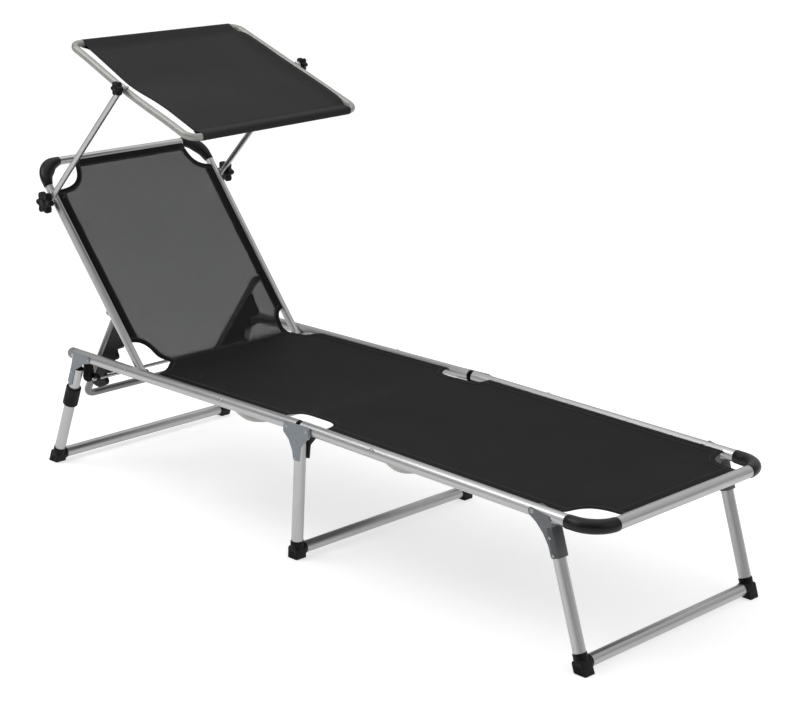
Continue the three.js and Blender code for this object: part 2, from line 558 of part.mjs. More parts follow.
// Toothed rack on the side of the prop that faces the rest bar: outline in (along, out), counted from the bar.
const RACK = [
  [-138.4, -25.3], [-130.4, -15.3], [-127.4, -4.3], [-125.4, 7.7], [-120.4, 11.7], [-114.4, 9.7], [-108.4, 1.7], [-100.4, -2.8], [-92.4, -1.8], [-88.4, 7.7], [-82.4, 11.2], [-74.4, 9.7], [-64.4, 3.7], [-52.4, 1.2], [-42.4, 2.7], [-34.4, 8.2], [-26.4, 11.3], [-20.4, 9.3], [-13.4, 3.3], [-4.2, -4.9], [0.2, -6.1], [5.4, -3.9], [7.1, 2.7], [11.6, 8.7], [19.6, 9.2], [31.6, 2.7], [45.6, -6.3], [53.6, -20.3],
];
for (const [side, s] of SIDES) {
  // the rack follows the taper of the prop
  const lean = Math.atan2(s * (PROP_END_X - PROP_TOP_X), PROP_LENGTH);
  const e1 = V(Math.sin(lean), pd[0] * Math.cos(lean), pd[1] * Math.cos(lean));
  const e2 = V(0, pn[0], pn[1]);
  const e3 = e1.clone().cross(e2);
  const bar = [(REST_BAR[0] - PROP_TOP[0]) * pd[0] + (REST_BAR[1] - PROP_TOP[1]) * pd[1], (REST_BAR[0] - PROP_TOP[0]) * pn[0] + (REST_BAR[1] - PROP_TOP[1]) * pn[1]];
  const teeth = RACK.map(([a, n]) => [bar[0] + a, bar[1] + n]);
  const outline = [[teeth[0][0], PROP_R + 0.7], ...teeth, [teeth.at(-1)[0] + 4, PROP_R + 0.7]];
  const shape = new THREE.Shape(outline.map(([a, n]) => new THREE.Vector2(a / Math.cos(lean), n)));
  const g = new THREE.ExtrudeGeometry(shape, { depth: 9, bevelEnabled: false });
  g.applyMatrix4(basis(V(s * PROP_TOP_X, ...PROP_TOP).sub(e3.clone().multiplyScalar(4.5)), e1, e2, e3));
  add(`prop_rack_${side}`, solid(g), "plastic");
}

// ---------------------------------------------------------------- canopy
const cl = Math.hypot(CANOPY_REAR[0] - CANOPY_FRONT[0], CANOPY_REAR[1] - CANOPY_FRONT[1]);
const CANOPY_ANGLE = (Math.atan2(CANOPY_REAR[1] - CANOPY_FRONT[1], CANOPY_REAR[0] - CANOPY_FRONT[0]) * 180) / Math.PI;
const cdv = [Math.cos(rad(CANOPY_ANGLE)), Math.sin(rad(CANOPY_ANGLE))];
const can = (a) => [CANOPY_FRONT[0] + cdv[0] * a, CANOPY_FRONT[1] + cdv[1] * a];
{
  const P = (x, a) => [x, ...can(a)];
  const half = (s, r, n = 12) => {
    const p = [P(-s * 3, 0), P(s * CANOPY_X, 0), P(s * CANOPY_X, cl), P(-s * 3, cl)];
    return sweep([p[0], ...bend(p[0], p[1], p[2], CANOPY_BEND, 5), ...bend(p[1], p[2], p[3], CANOPY_BEND, 5), p[3]], r, n);
  };
  const stemHoles = [-1, 1].map((s) => rod([s * 225, ...ARM_TOP], [s * 250, ...ARM_TOP], bore(3, 8), 8));
  add("canopy_frame", cut(join(half(1, CANOPY_R), half(-1, CANOPY_R)), join(half(1, CANOPY_R - 1.4, 8), half(-1, CANOPY_R - 1.4, 8)), stemHoles), "tube");

  // the sheet sits a little to the left between its hemmed ends round the two cross bars
  const sleeve = (a) => rod(P(-201, a), P(203, a), CANOPY_R + 1.9, 12, bore(CANOPY_R, 12));
  const right = [[201, 9.2], [205, 30], [203, 120], [203, cl - 120], [205, cl - 30], [201, cl - 9.2]];
  const left = [[203, 9.2], [215, 30], [224, 60], [225, 120], [225, cl - 120], [224, cl - 60], [215, cl - 30], [203, cl - 9.2]];
  add("canopy_fabric", join(plateTilted(outlineOf(left, right), CANOPY_FRONT, CANOPY_ANGLE, -1, 1), sleeve(0), sleeve(cl)), "fabric");
}
const armDir = [ARM_TOP[0] - ARM_FOOT[0], ARM_TOP[1] - ARM_FOOT[1]];
const armL = Math.hypot(...armDir);
const arm = (a) => [ARM_FOOT[0] + (armDir[0] / armL) * a, ARM_FOOT[1] + (armDir[1] / armL) * a];
for (const [side, s] of SIDES) {
  add(
    `canopy_arm_${side}`,
    cut(
      join(
        rod([s * ARM_X, ...arm(7)], [s * ARM_X, ...arm(armL - 7)], ARM_R, 12),
        plateX(disc(arm(0), 8.4, 16), s * 246.1, s * 257),
        plateX(disc(arm(armL), 8, 16), s * 246.4, s * 257),
      ),
      rod([s * 240, ...arm(0)], [s * 262, ...arm(0)], bore(3, 8), 8),
      rod([s * 240, ...arm(armL)], [s * 262, ...arm(armL)], bore(3, 8), 8),
    ),
    "tube",
  );
  // lobed clamp knobs; their screws pass through the ends of the arm
  const knob = (at, stemTo, hubR, x0, x1, R, dip, lobes, facets) => {
    const shape = new THREE.Shape(
      Array.from({ length: lobes * facets }, (_, k) => {
        const a = (2 * Math.PI * k) / (lobes * facets);
        const r = R - dip * (0.5 - 0.5 * Math.cos(lobes * a)) ** 1.6;
        return new THREE.Vector2(at[0] + r * Math.cos(a), at[1] + r * Math.sin(a));
      }),
    );
    const g = new THREE.ExtrudeGeometry(shape, { depth: x1 - x0 - 3, bevelEnabled: true, bevelThickness: 1.5, bevelSize: 1.5, bevelOffset: -1.5, bevelSegments: 1 });
    g.applyMatrix4(basis(V(s > 0 ? x0 + 1.5 : -x1 + 1.5, 0, 0), V(0, 1, 0), V(0, 0, 1), V(1, 0, 0)));
    return join(
      solid(g),
      rod([s * 257.3, ...at], [s * (x0 + 1), ...at], hubR, 12),
      rod([s * stemTo, ...at], [s * (x0 + 1), ...at], 3, 8),
    );
  };
  add(`knob_lower_${side}`, knob(arm(0), 238, 6.4, 261, 275, 26, 8.5, 6, 6), "plastic");
  add(`knob_upper_${side}`, knob(arm(armL), 236, 6.4, 261, 270, 15, 3.5, 6, 4), "plastic");
}

export default lounger;
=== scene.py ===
# Folding three-part sun lounger with an adjustable backrest and a tilting canopy: its looks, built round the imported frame.
# Lengths in the lists below are millimetres with y = 0 at the fold between the two rails of a side; place() turns them
# into the row frame in metres. "right" is the -X side and "left" the +X side.
import math
import random

import bmesh
import bpy
import numpy as np
from mathutils import Matrix, Vector


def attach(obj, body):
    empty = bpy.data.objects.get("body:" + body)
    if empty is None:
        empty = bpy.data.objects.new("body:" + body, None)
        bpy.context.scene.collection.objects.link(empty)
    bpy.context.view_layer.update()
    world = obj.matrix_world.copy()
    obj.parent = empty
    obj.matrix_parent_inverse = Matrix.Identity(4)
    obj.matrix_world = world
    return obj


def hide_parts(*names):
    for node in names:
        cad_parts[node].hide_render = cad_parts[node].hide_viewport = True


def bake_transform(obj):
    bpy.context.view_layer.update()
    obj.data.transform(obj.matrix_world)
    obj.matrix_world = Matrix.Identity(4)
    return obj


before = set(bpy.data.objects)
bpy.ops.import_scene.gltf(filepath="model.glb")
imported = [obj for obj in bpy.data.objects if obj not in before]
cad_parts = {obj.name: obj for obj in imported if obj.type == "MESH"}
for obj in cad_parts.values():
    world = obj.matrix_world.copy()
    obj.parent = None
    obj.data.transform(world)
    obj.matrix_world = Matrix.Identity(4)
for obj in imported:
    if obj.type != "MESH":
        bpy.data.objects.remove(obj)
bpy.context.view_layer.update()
random.seed(7)
CENTRE_Y = 63.463
SIDES = (("right", -1), ("left", 1))


# ---------------------------------------------------------------- the same driving dimensions as the CAD part
RAIL_X, RAIL_R, RAIL_WALL, RAIL_SPLIT, FOLD_Y, RAIL_Z, RAIL_DROP = 254, 12.5, 1.2, 6, 29, 290, 0.01135
HEAD_RAIL_END, HEAD_CAP_END, FOOT_RAIL_END, END_TUBE_Y, CORNER_BEND = 768, 785, -707.7, -777.5, 52
PLATE_IN, PLATE_OUT, INNER_IN, INNER_OUT = 266.8, 268.3, 239.7, 241.2
LEG_R, BAR_Z, BAR_END = 12.5, 18.3, 262.5
MID_LEG = dict(top=(1, 274), foot=(16, BAR_Z))
REAR_LEG = dict(top=(758.8, 249.5), foot=(851.4, BAR_Z), pivot=(705.2, 281.9))
FRONT_LEG = dict(top=(-678.8, 249.5), foot=(-753, BAR_Z), pivot=(-635.3, 286.1))
BACK_PIVOT, BACK_ANGLE, BACK_X, BACK_SPLAY, BACK_R = (549.5, 277.5), math.radians(49.67), 230.5, 0.0125, 9.5
BACK_TOP, BACK_SLEEVE_FROM, BACK_BEND, BACK_SLEEVE_X = 552.9, 494, 42, 180
PROP_T, PROP_BEHIND, PROP_END, PROP_R, PROP_TOP_X, PROP_END_X = 165, 14, (825, 157), 7.5, 204.5, 188
REST_BAR, REST_BAR_R = (730, 224), 4
ARM_X, ARM_R, ARM_T, ARM_TOP = 254, 6.5, 455, (563.2, 915.4)
CAN_FRONT, CAN_REAR, CAN_X, CAN_R, CAN_BEND = (353.4, 840.7), (762.1, 986.3), 238, 8, 25
SEAT_ABOVE, BACK_ABOVE = 7.5, 6.5


def rail_z(y):
    return RAIL_Z - RAIL_DROP * (abs(y) - FOLD_Y)


BD = (math.cos(BACK_ANGLE), math.sin(BACK_ANGLE))
BN = (-BD[1], BD[0])


def back(t, n=0.0):
    return (BACK_PIVOT[0] + BD[0] * t + BN[0] * n, BACK_PIVOT[1] + BD[1] * t + BN[1] * n)


def back_x(t):
    return BACK_X + BACK_SPLAY * t


CAN_L = math.hypot(CAN_REAR[0] - CAN_FRONT[0], CAN_REAR[1] - CAN_FRONT[1])
CAN_D = ((CAN_REAR[0] - CAN_FRONT[0]) / CAN_L, (CAN_REAR[1] - CAN_FRONT[1]) / CAN_L)


def can(a, n=0.0):
    return (CAN_FRONT[0] + CAN_D[0] * a - CAN_D[1] * n, CAN_FRONT[1] + CAN_D[1] * a + CAN_D[0] * n)


# ---------------------------------------------------------------- mesh building
def unit(v):
    v = np.asarray(v, float)
    return v / np.linalg.norm(v)


class Build:
    """Collects closed shells in millimetres, with each vertex's coordinates on its own material and how near an edge it is."""

    def __init__(self):
        self.v, self.f, self.local, self.edge, self.n = [], [], [], [], 0

    def put(self, verts, faces, local=None, edge=None):
        verts = np.asarray(verts, float).reshape(-1, 3)
        k = self.n
        self.v.append(verts)
        self.local.append(verts if local is None else np.asarray(local, float).reshape(-1, 3))
        self.edge.append(np.zeros(len(verts)) if edge is None else np.asarray(edge, float))
        self.f += [tuple(i + k for i in f) for f in faces]
        self.n += len(verts)
        return self


def frames(pts):
    """Tangents and two side directions carried along a path without twist."""
    pts = np.asarray(pts, float)
    t = np.zeros_like(pts)
    seg = np.diff(pts, axis=0)
    seg /= np.linalg.norm(seg, axis=1)[:, None]
    t[0], t[-1] = seg[0], seg[-1]
    t[1:-1] = seg[:-1] + seg[1:]
    t /= np.linalg.norm(t, axis=1)[:, None]
    side = np.array([1.0, 0, 0]) if abs(t[0][0]) < 0.9 else np.array([0, 0, 1.0])
    n = unit(side - t[0] * (side @ t[0]))
    ns = [n]
    for i in range(1, len(pts)):
        n = n - t[i] * (n @ t[i])
        n = unit(n)
        ns.append(n)
    ns = np.array(ns)
    return t, ns, np.cross(t, ns)


def ring_faces(rings, segs, first=0, flip=False):
    out = []
    for i in range(rings - 1):
        for j in range(segs):
            a, b = first + i * segs + j, first + i * segs + (j + 1) % segs
            out.append((a, b, b + segs, a + segs))
    return out


def sweep(b, pts, r, segs=40, inner=0.0, chamfer=0.5, radii=None, flat=(1.0, 1.0)):
    """Round tube along pts. With inner it is a pipe with open ends; otherwise it is closed with flat, slightly broken ends."""
    pts = np.asarray(pts, float)
    t0, t1 = unit(pts[1] - pts[0]), unit(pts[-1] - pts[-2])
    rad = np.full(len(pts), float(r)) if radii is None else np.asarray(radii, float)
    pts = np.vstack([pts[0], pts[0] + t0 * chamfer, pts[1:-1], pts[-1] - t1 * chamfer, pts[-1]])
    rad = np.concatenate([[rad[0] - chamfer, rad[0]], rad[1:-1], [rad[-1], rad[-1] - chamfer]])
    t, n, s = frames(pts)
    along = np.concatenate([[0], np.cumsum(np.linalg.norm(np.diff(pts, axis=0), axis=1))])
    th = np.arange(segs) * 2 * math.pi / segs
    c, q = np.cos(th)[None, :, None], np.sin(th)[None, :, None]

    def ring(radius):
        v = pts[:, None, :] + radius[:, None, None] * (n[:, None, :] * c * flat[0] + s[:, None, :] * q * flat[1])
        loc = np.stack([radius[:, None] * np.cos(th)[None], radius[:, None] * np.sin(th)[None], np.repeat(along[:, None], segs, 1)], 2)
        return v.reshape(-1, 3), loc.reshape(-1, 3)

    v, loc = ring(rad)
    f = ring_faces(len(pts), segs)
    edge = np.zeros(len(v))
    edge[:segs] = edge[-segs:] = 1
    if inner:
        vi, li = ring(np.full(len(pts), float(inner)))
        k = len(v)
        f += [tuple(reversed(x)) for x in ring_faces(len(pts), segs, k)]
        last = (len(pts) - 1) * segs
        for j in range(segs):
            j2 = (j + 1) % segs
            f.append((j, k + j, k + j2, j2))
            f.append((last + j, last + j2, k + last + j2, k + last + j))
        v, loc, edge = np.vstack([v, vi]), np.vstack([loc, li]), np.concatenate([edge, np.zeros(len(vi))])
    else:
        f.append(tuple(range(segs))[::-1])
        f.append(tuple(range((len(pts) - 1) * segs, len(pts) * segs)))
    return b.put(v, f, loc, edge)


def lathe(b, p, d, profile, segs=28):
    """Turned shell about the line from p along d, profile of (radius, distance) from pole to pole or closed on itself."""
    p, d = np.asarray(p, float), unit(d)
    side = np.array([0, 1.0, 0]) if abs(d[0]) > 0.9 else np.array([1.0, 0, 0])
    ex = unit(side - d * (side @ d))
    ez = np.cross(ex, d)
    th = np.arange(segs) * 2 * math.pi / segs
    v, loc, rows, edge = [], [], [], []
    for r, a in profile:
        if r < 1e-6:
            rows.append((len(v), 1))
            v.append(p + d * a)
            loc.append((0, 0, a))
            edge.append(0)
        else:
            rows.append((len(v), segs))
            for x in th:
                v.append(p + d * a + r * (ex * math.cos(x) + ez * math.sin(x)))
                loc.append((r * math.cos(x), r * math.sin(x), a))
                edge.append(0)
    f = []
    pairs = list(zip(rows, rows[1:]))
    if rows[0][1] > 1:
        pairs.append((rows[-1], rows[0]))
    for (i, ni), (k, nk) in pairs:
        for j in range(segs):
            j2 = (j + 1) % segs
            if ni == 1 and nk > 1:
                f.append((i, k + j, k + j2))
            elif nk == 1 and ni > 1:
                f.append((i + j2, i + j, k))
            elif ni > 1:
                f.append((i + j, k + j, k + j2, i + j2))
    return b.put(v, f, loc, edge)


def fillet(outline, r, n=6):
    """A closed outline with each corner rounded to radius r, or as much as its sides leave room for."""
    pts = [np.asarray(p, float) for p in outline]
    out = []
    m = len(pts)
    rs = r if hasattr(r, "__len__") else [r] * m
    for i in range(m):
        a, c, d = pts[i - 1], pts[i], pts[(i + 1) % m]
        u, w = a - c, d - c
        lu, lw = np.linalg.norm(u), np.linalg.norm(w)
        u, w = u / lu, w / lw
        cosang = float(np.clip(u @ w, -1, 1))
        half = math.acos(cosang) / 2
        if rs[i] <= 0 or half > math.pi / 2 - 0.02:
            out.append(c)
            continue
        back_off = min(rs[i] / math.tan(half), 0.48 * lu, 0.48 * lw)
        rad = back_off * math.tan(half)
        centre = c + unit(u + w) * rad / math.sin(half)
        s, e = c + u * back_off - centre, c + w * back_off - centre
        turn = math.acos(float(np.clip(s @ e / rad / rad, -1, 1)))
        for k in range(n + 1):
            q = k / n
            out.append(centre + (s * math.sin((1 - q) * turn) + e * math.sin(q * turn)) / math.sin(turn) if turn > 1e-6 else c)
    return out


def offset(outline, d):
    """A closed outline moved inwards by d."""
    pts = np.asarray(outline, float)
    area = 0.5 * float(np.sum(pts[:, 0] * np.roll(pts[:, 1], -1) - np.roll(pts[:, 0], -1) * pts[:, 1]))
    sgn = 1 if area > 0 else -1
    out = []
    m = len(pts)
    for i in range(m):
        a, c, e = pts[i - 1], pts[i], pts[(i + 1) % m]
        u, w = c - a, e - c
        lu, lw = np.linalg.norm(u), np.linalg.norm(w)
        if lu < 1e-9 or lw < 1e-9:
            out.append(c)
            continue
        n1, n2 = np.array([-u[1], u[0]]) / lu * sgn, np.array([-w[1], w[0]]) / lw * sgn
        nn = n1 + n2
        ln = np.linalg.norm(nn)
        if ln < 1e-6:
            out.append(c + n1 * d)
            continue
        nn /= ln
        out.append(c + nn * d / max(0.4, float(nn @ n1)))
    return out


def prism(b, outline, origin, ex, ey, w0, w1, c=0.4, rows=2, wear=1.0):
    """Plate with broken edges: outline in the plane of ex and ey at origin, from w0 to w1 along their normal."""
    origin, ex, ey = np.asarray(origin, float), np.asarray(ex, float), np.asarray(ey, float)
    ez = np.cross(ex, ey)
    if w1 < w0:
        w0, w1 = w1, w0
    m = len(outline)
    levels = [(offset(outline, c + 0.9), w0, 0.0), (offset(outline, c), w0, 0.6)]
    for k in range(1, rows + 1):
        q = k / rows * math.pi / 2
        levels.append((offset(outline, c * (1 - math.sin(q))), w0 + c * (1 - math.cos(q)), 1.0))
    for k in range(rows, 0, -1):
        q = k / rows * math.pi / 2
        levels.append((offset(outline, c * (1 - math.sin(q))), w1 - c * (1 - math.cos(q)), 1.0))
    levels += [(offset(outline, c), w1, 0.6), (offset(outline, c + 0.9), w1, 0.0)]
    v, loc, edge = [], [], []
    for o, w, e in levels:
        for x, y in o:
            v.append(origin + ex * x + ey * y + ez * w)
            loc.append((x, y, w))
            edge.append(e * wear)
    f = ring_faces(len(levels), m)
    f.append(tuple(range(m))[::-1])
    f.append(tuple(range((len(levels) - 1) * m, len(levels) * m)))
    return b.put(v, f, loc, edge)


def plate_x(b, outline, x0, x1, c=0.4, rows=2):
    """Plate square to X, outline in (y, z)."""
    return prism(b, outline, (0, 0, 0), (0, 1, 0), (0, 0, 1), min(x0, x1), max(x0, x1), c, rows)


def bend(a, c, e, r, n=12):
    """Corner a-c-e rounded at c with radius r, as points from the start of the bend to its end."""
    a, c, e = (np.asarray(x, float) for x in (a, c, e))
    u, w = unit(a - c), unit(e - c)
    half = math.acos(float(u @ w)) / 2
    centre = c + unit(u + w) * r / math.sin(half)
    s, q = c + u * r / math.tan(half) - centre, c + w * r / math.tan(half) - centre
    turn = math.acos(float(np.clip(unit(s) @ unit(q), -1, 1)))
    return [centre + (s * math.sin((1 - k / n) * turn) + q * math.sin(k / n * turn)) / math.sin(turn) for k in range(n + 1)]


def smooth_path(pts, n=8):
    """Points on a Catmull-Rom curve through pts."""
    p = [np.asarray(x, float) for x in pts]
    p = [2 * p[0] - p[1]] + p + [2 * p[-1] - p[-2]]
    out = []
    for i in range(1, len(p) - 2):
        for k in range(n):
            t = k / n
            out.append(0.5 * (2 * p[i] + (p[i + 1] - p[i - 1]) * t + (2 * p[i - 1] - 5 * p[i] + 4 * p[i + 1] - p[i + 2]) * t * t + (3 * p[i] - p[i - 1] - 3 * p[i + 1] + p[i + 2]) * t ** 3))
    out.append(p[-2])
    return out


def disc(c, r, n=32):
    return [(c[0] + r * math.cos(2 * math.pi * k / n), c[1] + r * math.sin(2 * math.pi * k / n)) for k in range(n)]


def corner_sleeve(b, pts, centre, normal, r, fill, segs=48, power=0.8):
    """Sleeve round a bent tube whose inner side fills the bend towards its chord."""
    pts = np.asarray(pts, float)
    normal, centre = unit(normal), np.asarray(centre, float)
    t, _, _ = frames(pts)
    al = np.concatenate([[0], np.cumsum(np.linalg.norm(np.diff(pts, axis=0), axis=1))])
    v, loc, edge, rows = [], [], [], 0
    for i, p in enumerate(pts):
        q = al[i] / al[-1]
        inward = np.cross(normal, t[i])
        if inward @ (centre - p) < 0:
            inward = -inward
        inward = unit(inward)
        grow = fill * math.sin(math.pi * q) ** power if 0 < q < 1 else 0.0
        steps = [(0.0, -1.3), (0.45, -0.4), (1.3, 0.0)] if i == 0 else ([(-1.3, 0.0), (-0.45, -0.4), (0.0, -1.3)] if i == len(pts) - 1 else [(0.0, 0.0)])
        for da, dr in steps:
            c = p + t[i] * da + inward * grow / 2
            w, h = r + grow / 2 + dr, r + dr + 0.06 * grow
            for k in range(segs):
                th = 2 * math.pi * k / segs
                cs, sn = math.cos(th), math.sin(th)
                v.append(c + inward * w * cs + normal * h * sn)
                loc.append((w * cs, h * sn, al[i] + da))
                edge.append(1.0 if da and dr < 0 else 0.0)
            rows += 1
    f = ring_faces(rows, segs) + [tuple(range(segs))[::-1], tuple(range((rows - 1) * segs, rows * segs))]
    return b.put(v, f, loc, edge)


def bend_centre(a, c, e, r):
    a, c, e = (np.asarray(x, float) for x in (a, c, e))
    u, w = unit(a - c), unit(e - c)
    half = math.acos(float(u @ w)) / 2
    return c + unit(u + w) * r / math.sin(half)


def rivet(b, p, d, r, h=2.2, hole=0.0, segs=28):
    """Button head on the surface at p, standing out along d; with hole it is a blind rivet with an open middle."""
    prof = [(0, -0.6), (r, -0.6), (r, 0.25), (r * 0.97, 0.55), (r * 0.82, h * 0.62), (r * 0.58, h * 0.88)]
    if hole:
        prof += [(hole + 0.35, h), (hole, h - 0.3), (hole * 0.9, h - 1.3), (0, h - 1.4)]
    else:
        prof += [(r * 0.3, h * 0.98), (0, h)]
    return lathe(b, p, d, prof, segs)


def finish_mesh(name, b, mat, angle=32.0):
    me = bpy.data.meshes.new(name)
    co = (np.vstack(b.v) - np.array([0, CENTRE_Y, 0])) / 1000
    me.from_pydata(co.tolist(), [], b.f)
    bm = bmesh.new()
    bm.from_mesh(me)
    bmesh.ops.recalc_face_normals(bm, faces=bm.faces)
    bm.to_mesh(me)
    bm.free()
    at = me.attributes.new("local", "FLOAT_VECTOR", "POINT")
    at.data.foreach_set("vector", (np.vstack(b.local) / 1000).astype(np.float32).ravel())
    at = me.attributes.new("edge", "FLOAT", "POINT")
    at.data.foreach_set("value", np.concatenate(b.edge).astype(np.float32))
    me.materials.append(mat)
    me.polygons.foreach_set("use_smooth", [True] * len(me.polygons))
    me.set_sharp_from_angle(angle=math.radians(angle))
    ob = bpy.data.objects.new(name, me)
    bpy.context.scene.collection.objects.link(ob)
    return ob


def piece(name, b, mat, body, nodes=(), angle=32.0):
    ob = finish_mesh(name, b, mat, angle)
    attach(ob, body)
    if nodes:
        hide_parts(*nodes)
    return ob


# ---------------------------------------------------------------- materials
class Graph:
    def __init__(self, name):
        self.mat = bpy.data.materials.new(name)
        self.mat.use_nodes = True
        self.t = self.mat.node_tree
        self.t.nodes.clear()
        self.out = self.t.nodes.new("ShaderNodeOutputMaterial")
        self.p = self.t.nodes.new("ShaderNodeBsdfPrincipled")
        self.t.links.new(self.p.outputs[0], self.out.inputs["Surface"])

    def node(self, kind, ins=None, **props):
        n = self.t.nodes.new(kind)
        for k, v in props.items():
            setattr(n, k, v)
        for k, v in (ins or {}).items():
            self.feed(n.inputs[k], v)
        return n

    def feed(self, socket, v):
        if isinstance(v, bpy.types.NodeSocket):
            self.t.links.new(v, socket)
        else:
            socket.default_value = v

    def math(self, op, a, b=None, clamp=False):
        n = self.node("ShaderNodeMath", {0: a} if b is None else {0: a, 1: b}, operation=op)
        n.use_clamp = clamp
        return n.outputs[0]

    def scaled(self, vector, by):
        return self.node("ShaderNodeVectorMath", {0: vector, 1: by}, operation="MULTIPLY").outputs[0]

    def attr(self, name, out="Vector"):
        return self.node("ShaderNodeAttribute", attribute_name=name).outputs[out]

    def noise(self, vector, scale, detail=2.0, rough=0.5):
        return self.node("ShaderNodeTexNoise", {"Vector": vector, "Scale": scale, "Detail": detail, "Roughness": rough}).outputs["Fac"]

    def span(self, value, a, b, c, d):
        n = self.node("ShaderNodeMapRange", {"Value": value, "From Min": a, "From Max": b, "To Min": c, "To Max": d})
        return n.outputs[0]

    def mix(self, fac, a, b):
        n = self.node("ShaderNodeMix", data_type="RGBA")
        self.feed(n.inputs[0], fac)
        for s, v in ((n.inputs[6], a), (n.inputs[7], b)):
            self.feed(s, v)
        return n.outputs[2]

    def bump(self, height, strength, distance):
        n = self.node("ShaderNodeBump", {"Height": height, "Strength": strength, "Distance": distance})
        self.t.links.new(n.outputs[0], self.p.inputs["Normal"])

    def set(self, **ins):
        for k, v in ins.items():
            self.feed(self.p.inputs[k.replace("_", " ")], v)


def rgb(v, tint=(1, 1, 1)):
    return (v * tint[0], v * tint[1], v * tint[2], 1)


def aluminium(name, low, high, rough=(0.27, 0.37), tint=(1, 1.0, 1.01)):
    """Drawn and satin anodised tube: fine streaks along its length, faint smudges and a few scuffs."""
    g = Graph(name)
    at = g.attr("local")
    streak = g.noise(g.scaled(at, (900, 900, 7)), 1.0, 3.0, 0.6)
    smudge = g.noise(g.scaled(at, (40, 40, 22)), 1.0, 3.0, 0.55)
    scuff = g.noise(g.scaled(at, (260, 260, 120)), 1.0, 4.0, 0.7)
    scuffed = g.span(scuff, 0.66, 0.74, 0.0, 1.0)
    col = g.mix(g.span(streak, 0.3, 0.7, 0.0, 1.0), rgb(low, tint), rgb(high, tint))
    col = g.mix(g.math("MULTIPLY", scuffed, 0.35), col, rgb(low * 0.72, tint))
    g.set(Base_Color=col, Metallic=1.0)
    r = g.math("ADD", g.span(streak, 0.25, 0.75, rough[0], rough[1]), g.span(smudge, 0.3, 0.7, -0.03, 0.05))
    g.set(Roughness=g.math("ADD", r, g.math("MULTIPLY", scuffed, 0.12)))
    g.bump(g.math("ADD", streak, g.math("MULTIPLY", scuff, 0.6)), 0.10, 0.00008)
    return g.mat


def painted(name, base, rough, metallic, wear=0.5, bare=0.42):
    """Sprayed steel sheet: slight orange peel, and paint worn thin along the pressed edges."""
    g = Graph(name)
    at = g.attr("local")
    peel = g.noise(at, 700.0, 2.0)
    cloud = g.noise(at, 60.0, 4.0, 0.6)
    fine = g.noise(at, 420.0, 4.0, 0.7)
    worn = g.math("MULTIPLY", g.attr("edge", "Fac"), g.span(fine, 0.42, 0.62, 0.0, 1.0), clamp=True)
    col = g.mix(g.span(cloud, 0.3, 0.7, 0.0, 1.0), rgb(1, [x * 0.88 for x in base]), rgb(1, [x * 1.1 for x in base]))
    col = g.mix(g.math("MULTIPLY", worn, wear), col, rgb(bare))
    g.set(Base_Color=col, Metallic=metallic)
    g.set(Roughness=g.math("ADD", g.span(cloud, 0.3, 0.7, rough - 0.05, rough + 0.07), g.math("MULTIPLY", worn, -0.08)))
    g.bump(g.math("ADD", peel, g.math("MULTIPLY", fine, 0.4)), 0.12, 0.00015)
    return g.mat


def plastic(name, base, rough, grain=1.0, scale=1300.0, spec=0.3):
    """Moulded plastic with a fine eroded grain, slightly dusty in patches."""
    g = Graph(name)
    at = g.attr("local")
    fine = g.noise(at, scale, 3.0, 0.6)
    patch = g.noise(at, 45.0, 4.0, 0.6)
    rub = g.noise(at, 260.0, 3.0, 0.6)
    worn = g.math("MULTIPLY", g.attr("edge", "Fac"), g.span(rub, 0.45, 0.65, 0.0, 1.0), clamp=True)
    col = g.mix(g.span(patch, 0.35, 0.75, 0.0, 1.0), rgb(1, [x * 0.85 for x in base]), rgb(1, [x * 1.35 for x in base]))
    col = g.mix(g.math("MULTIPLY", worn, 0.25), col, rgb(1, [x * 2.4 + 0.006 for x in base]))
    g.set(Base_Color=col, Specular_IOR_Level=spec)
    g.set(Roughness=g.math("ADD", g.span(patch, 0.3, 0.7, rough - 0.05, rough + 0.08), g.span(fine, 0.2, 0.8, -0.05, 0.05)))
    g.bump(fine, 0.25 * grain, 0.00012)
    return g.mat


PITCH = 0.00125


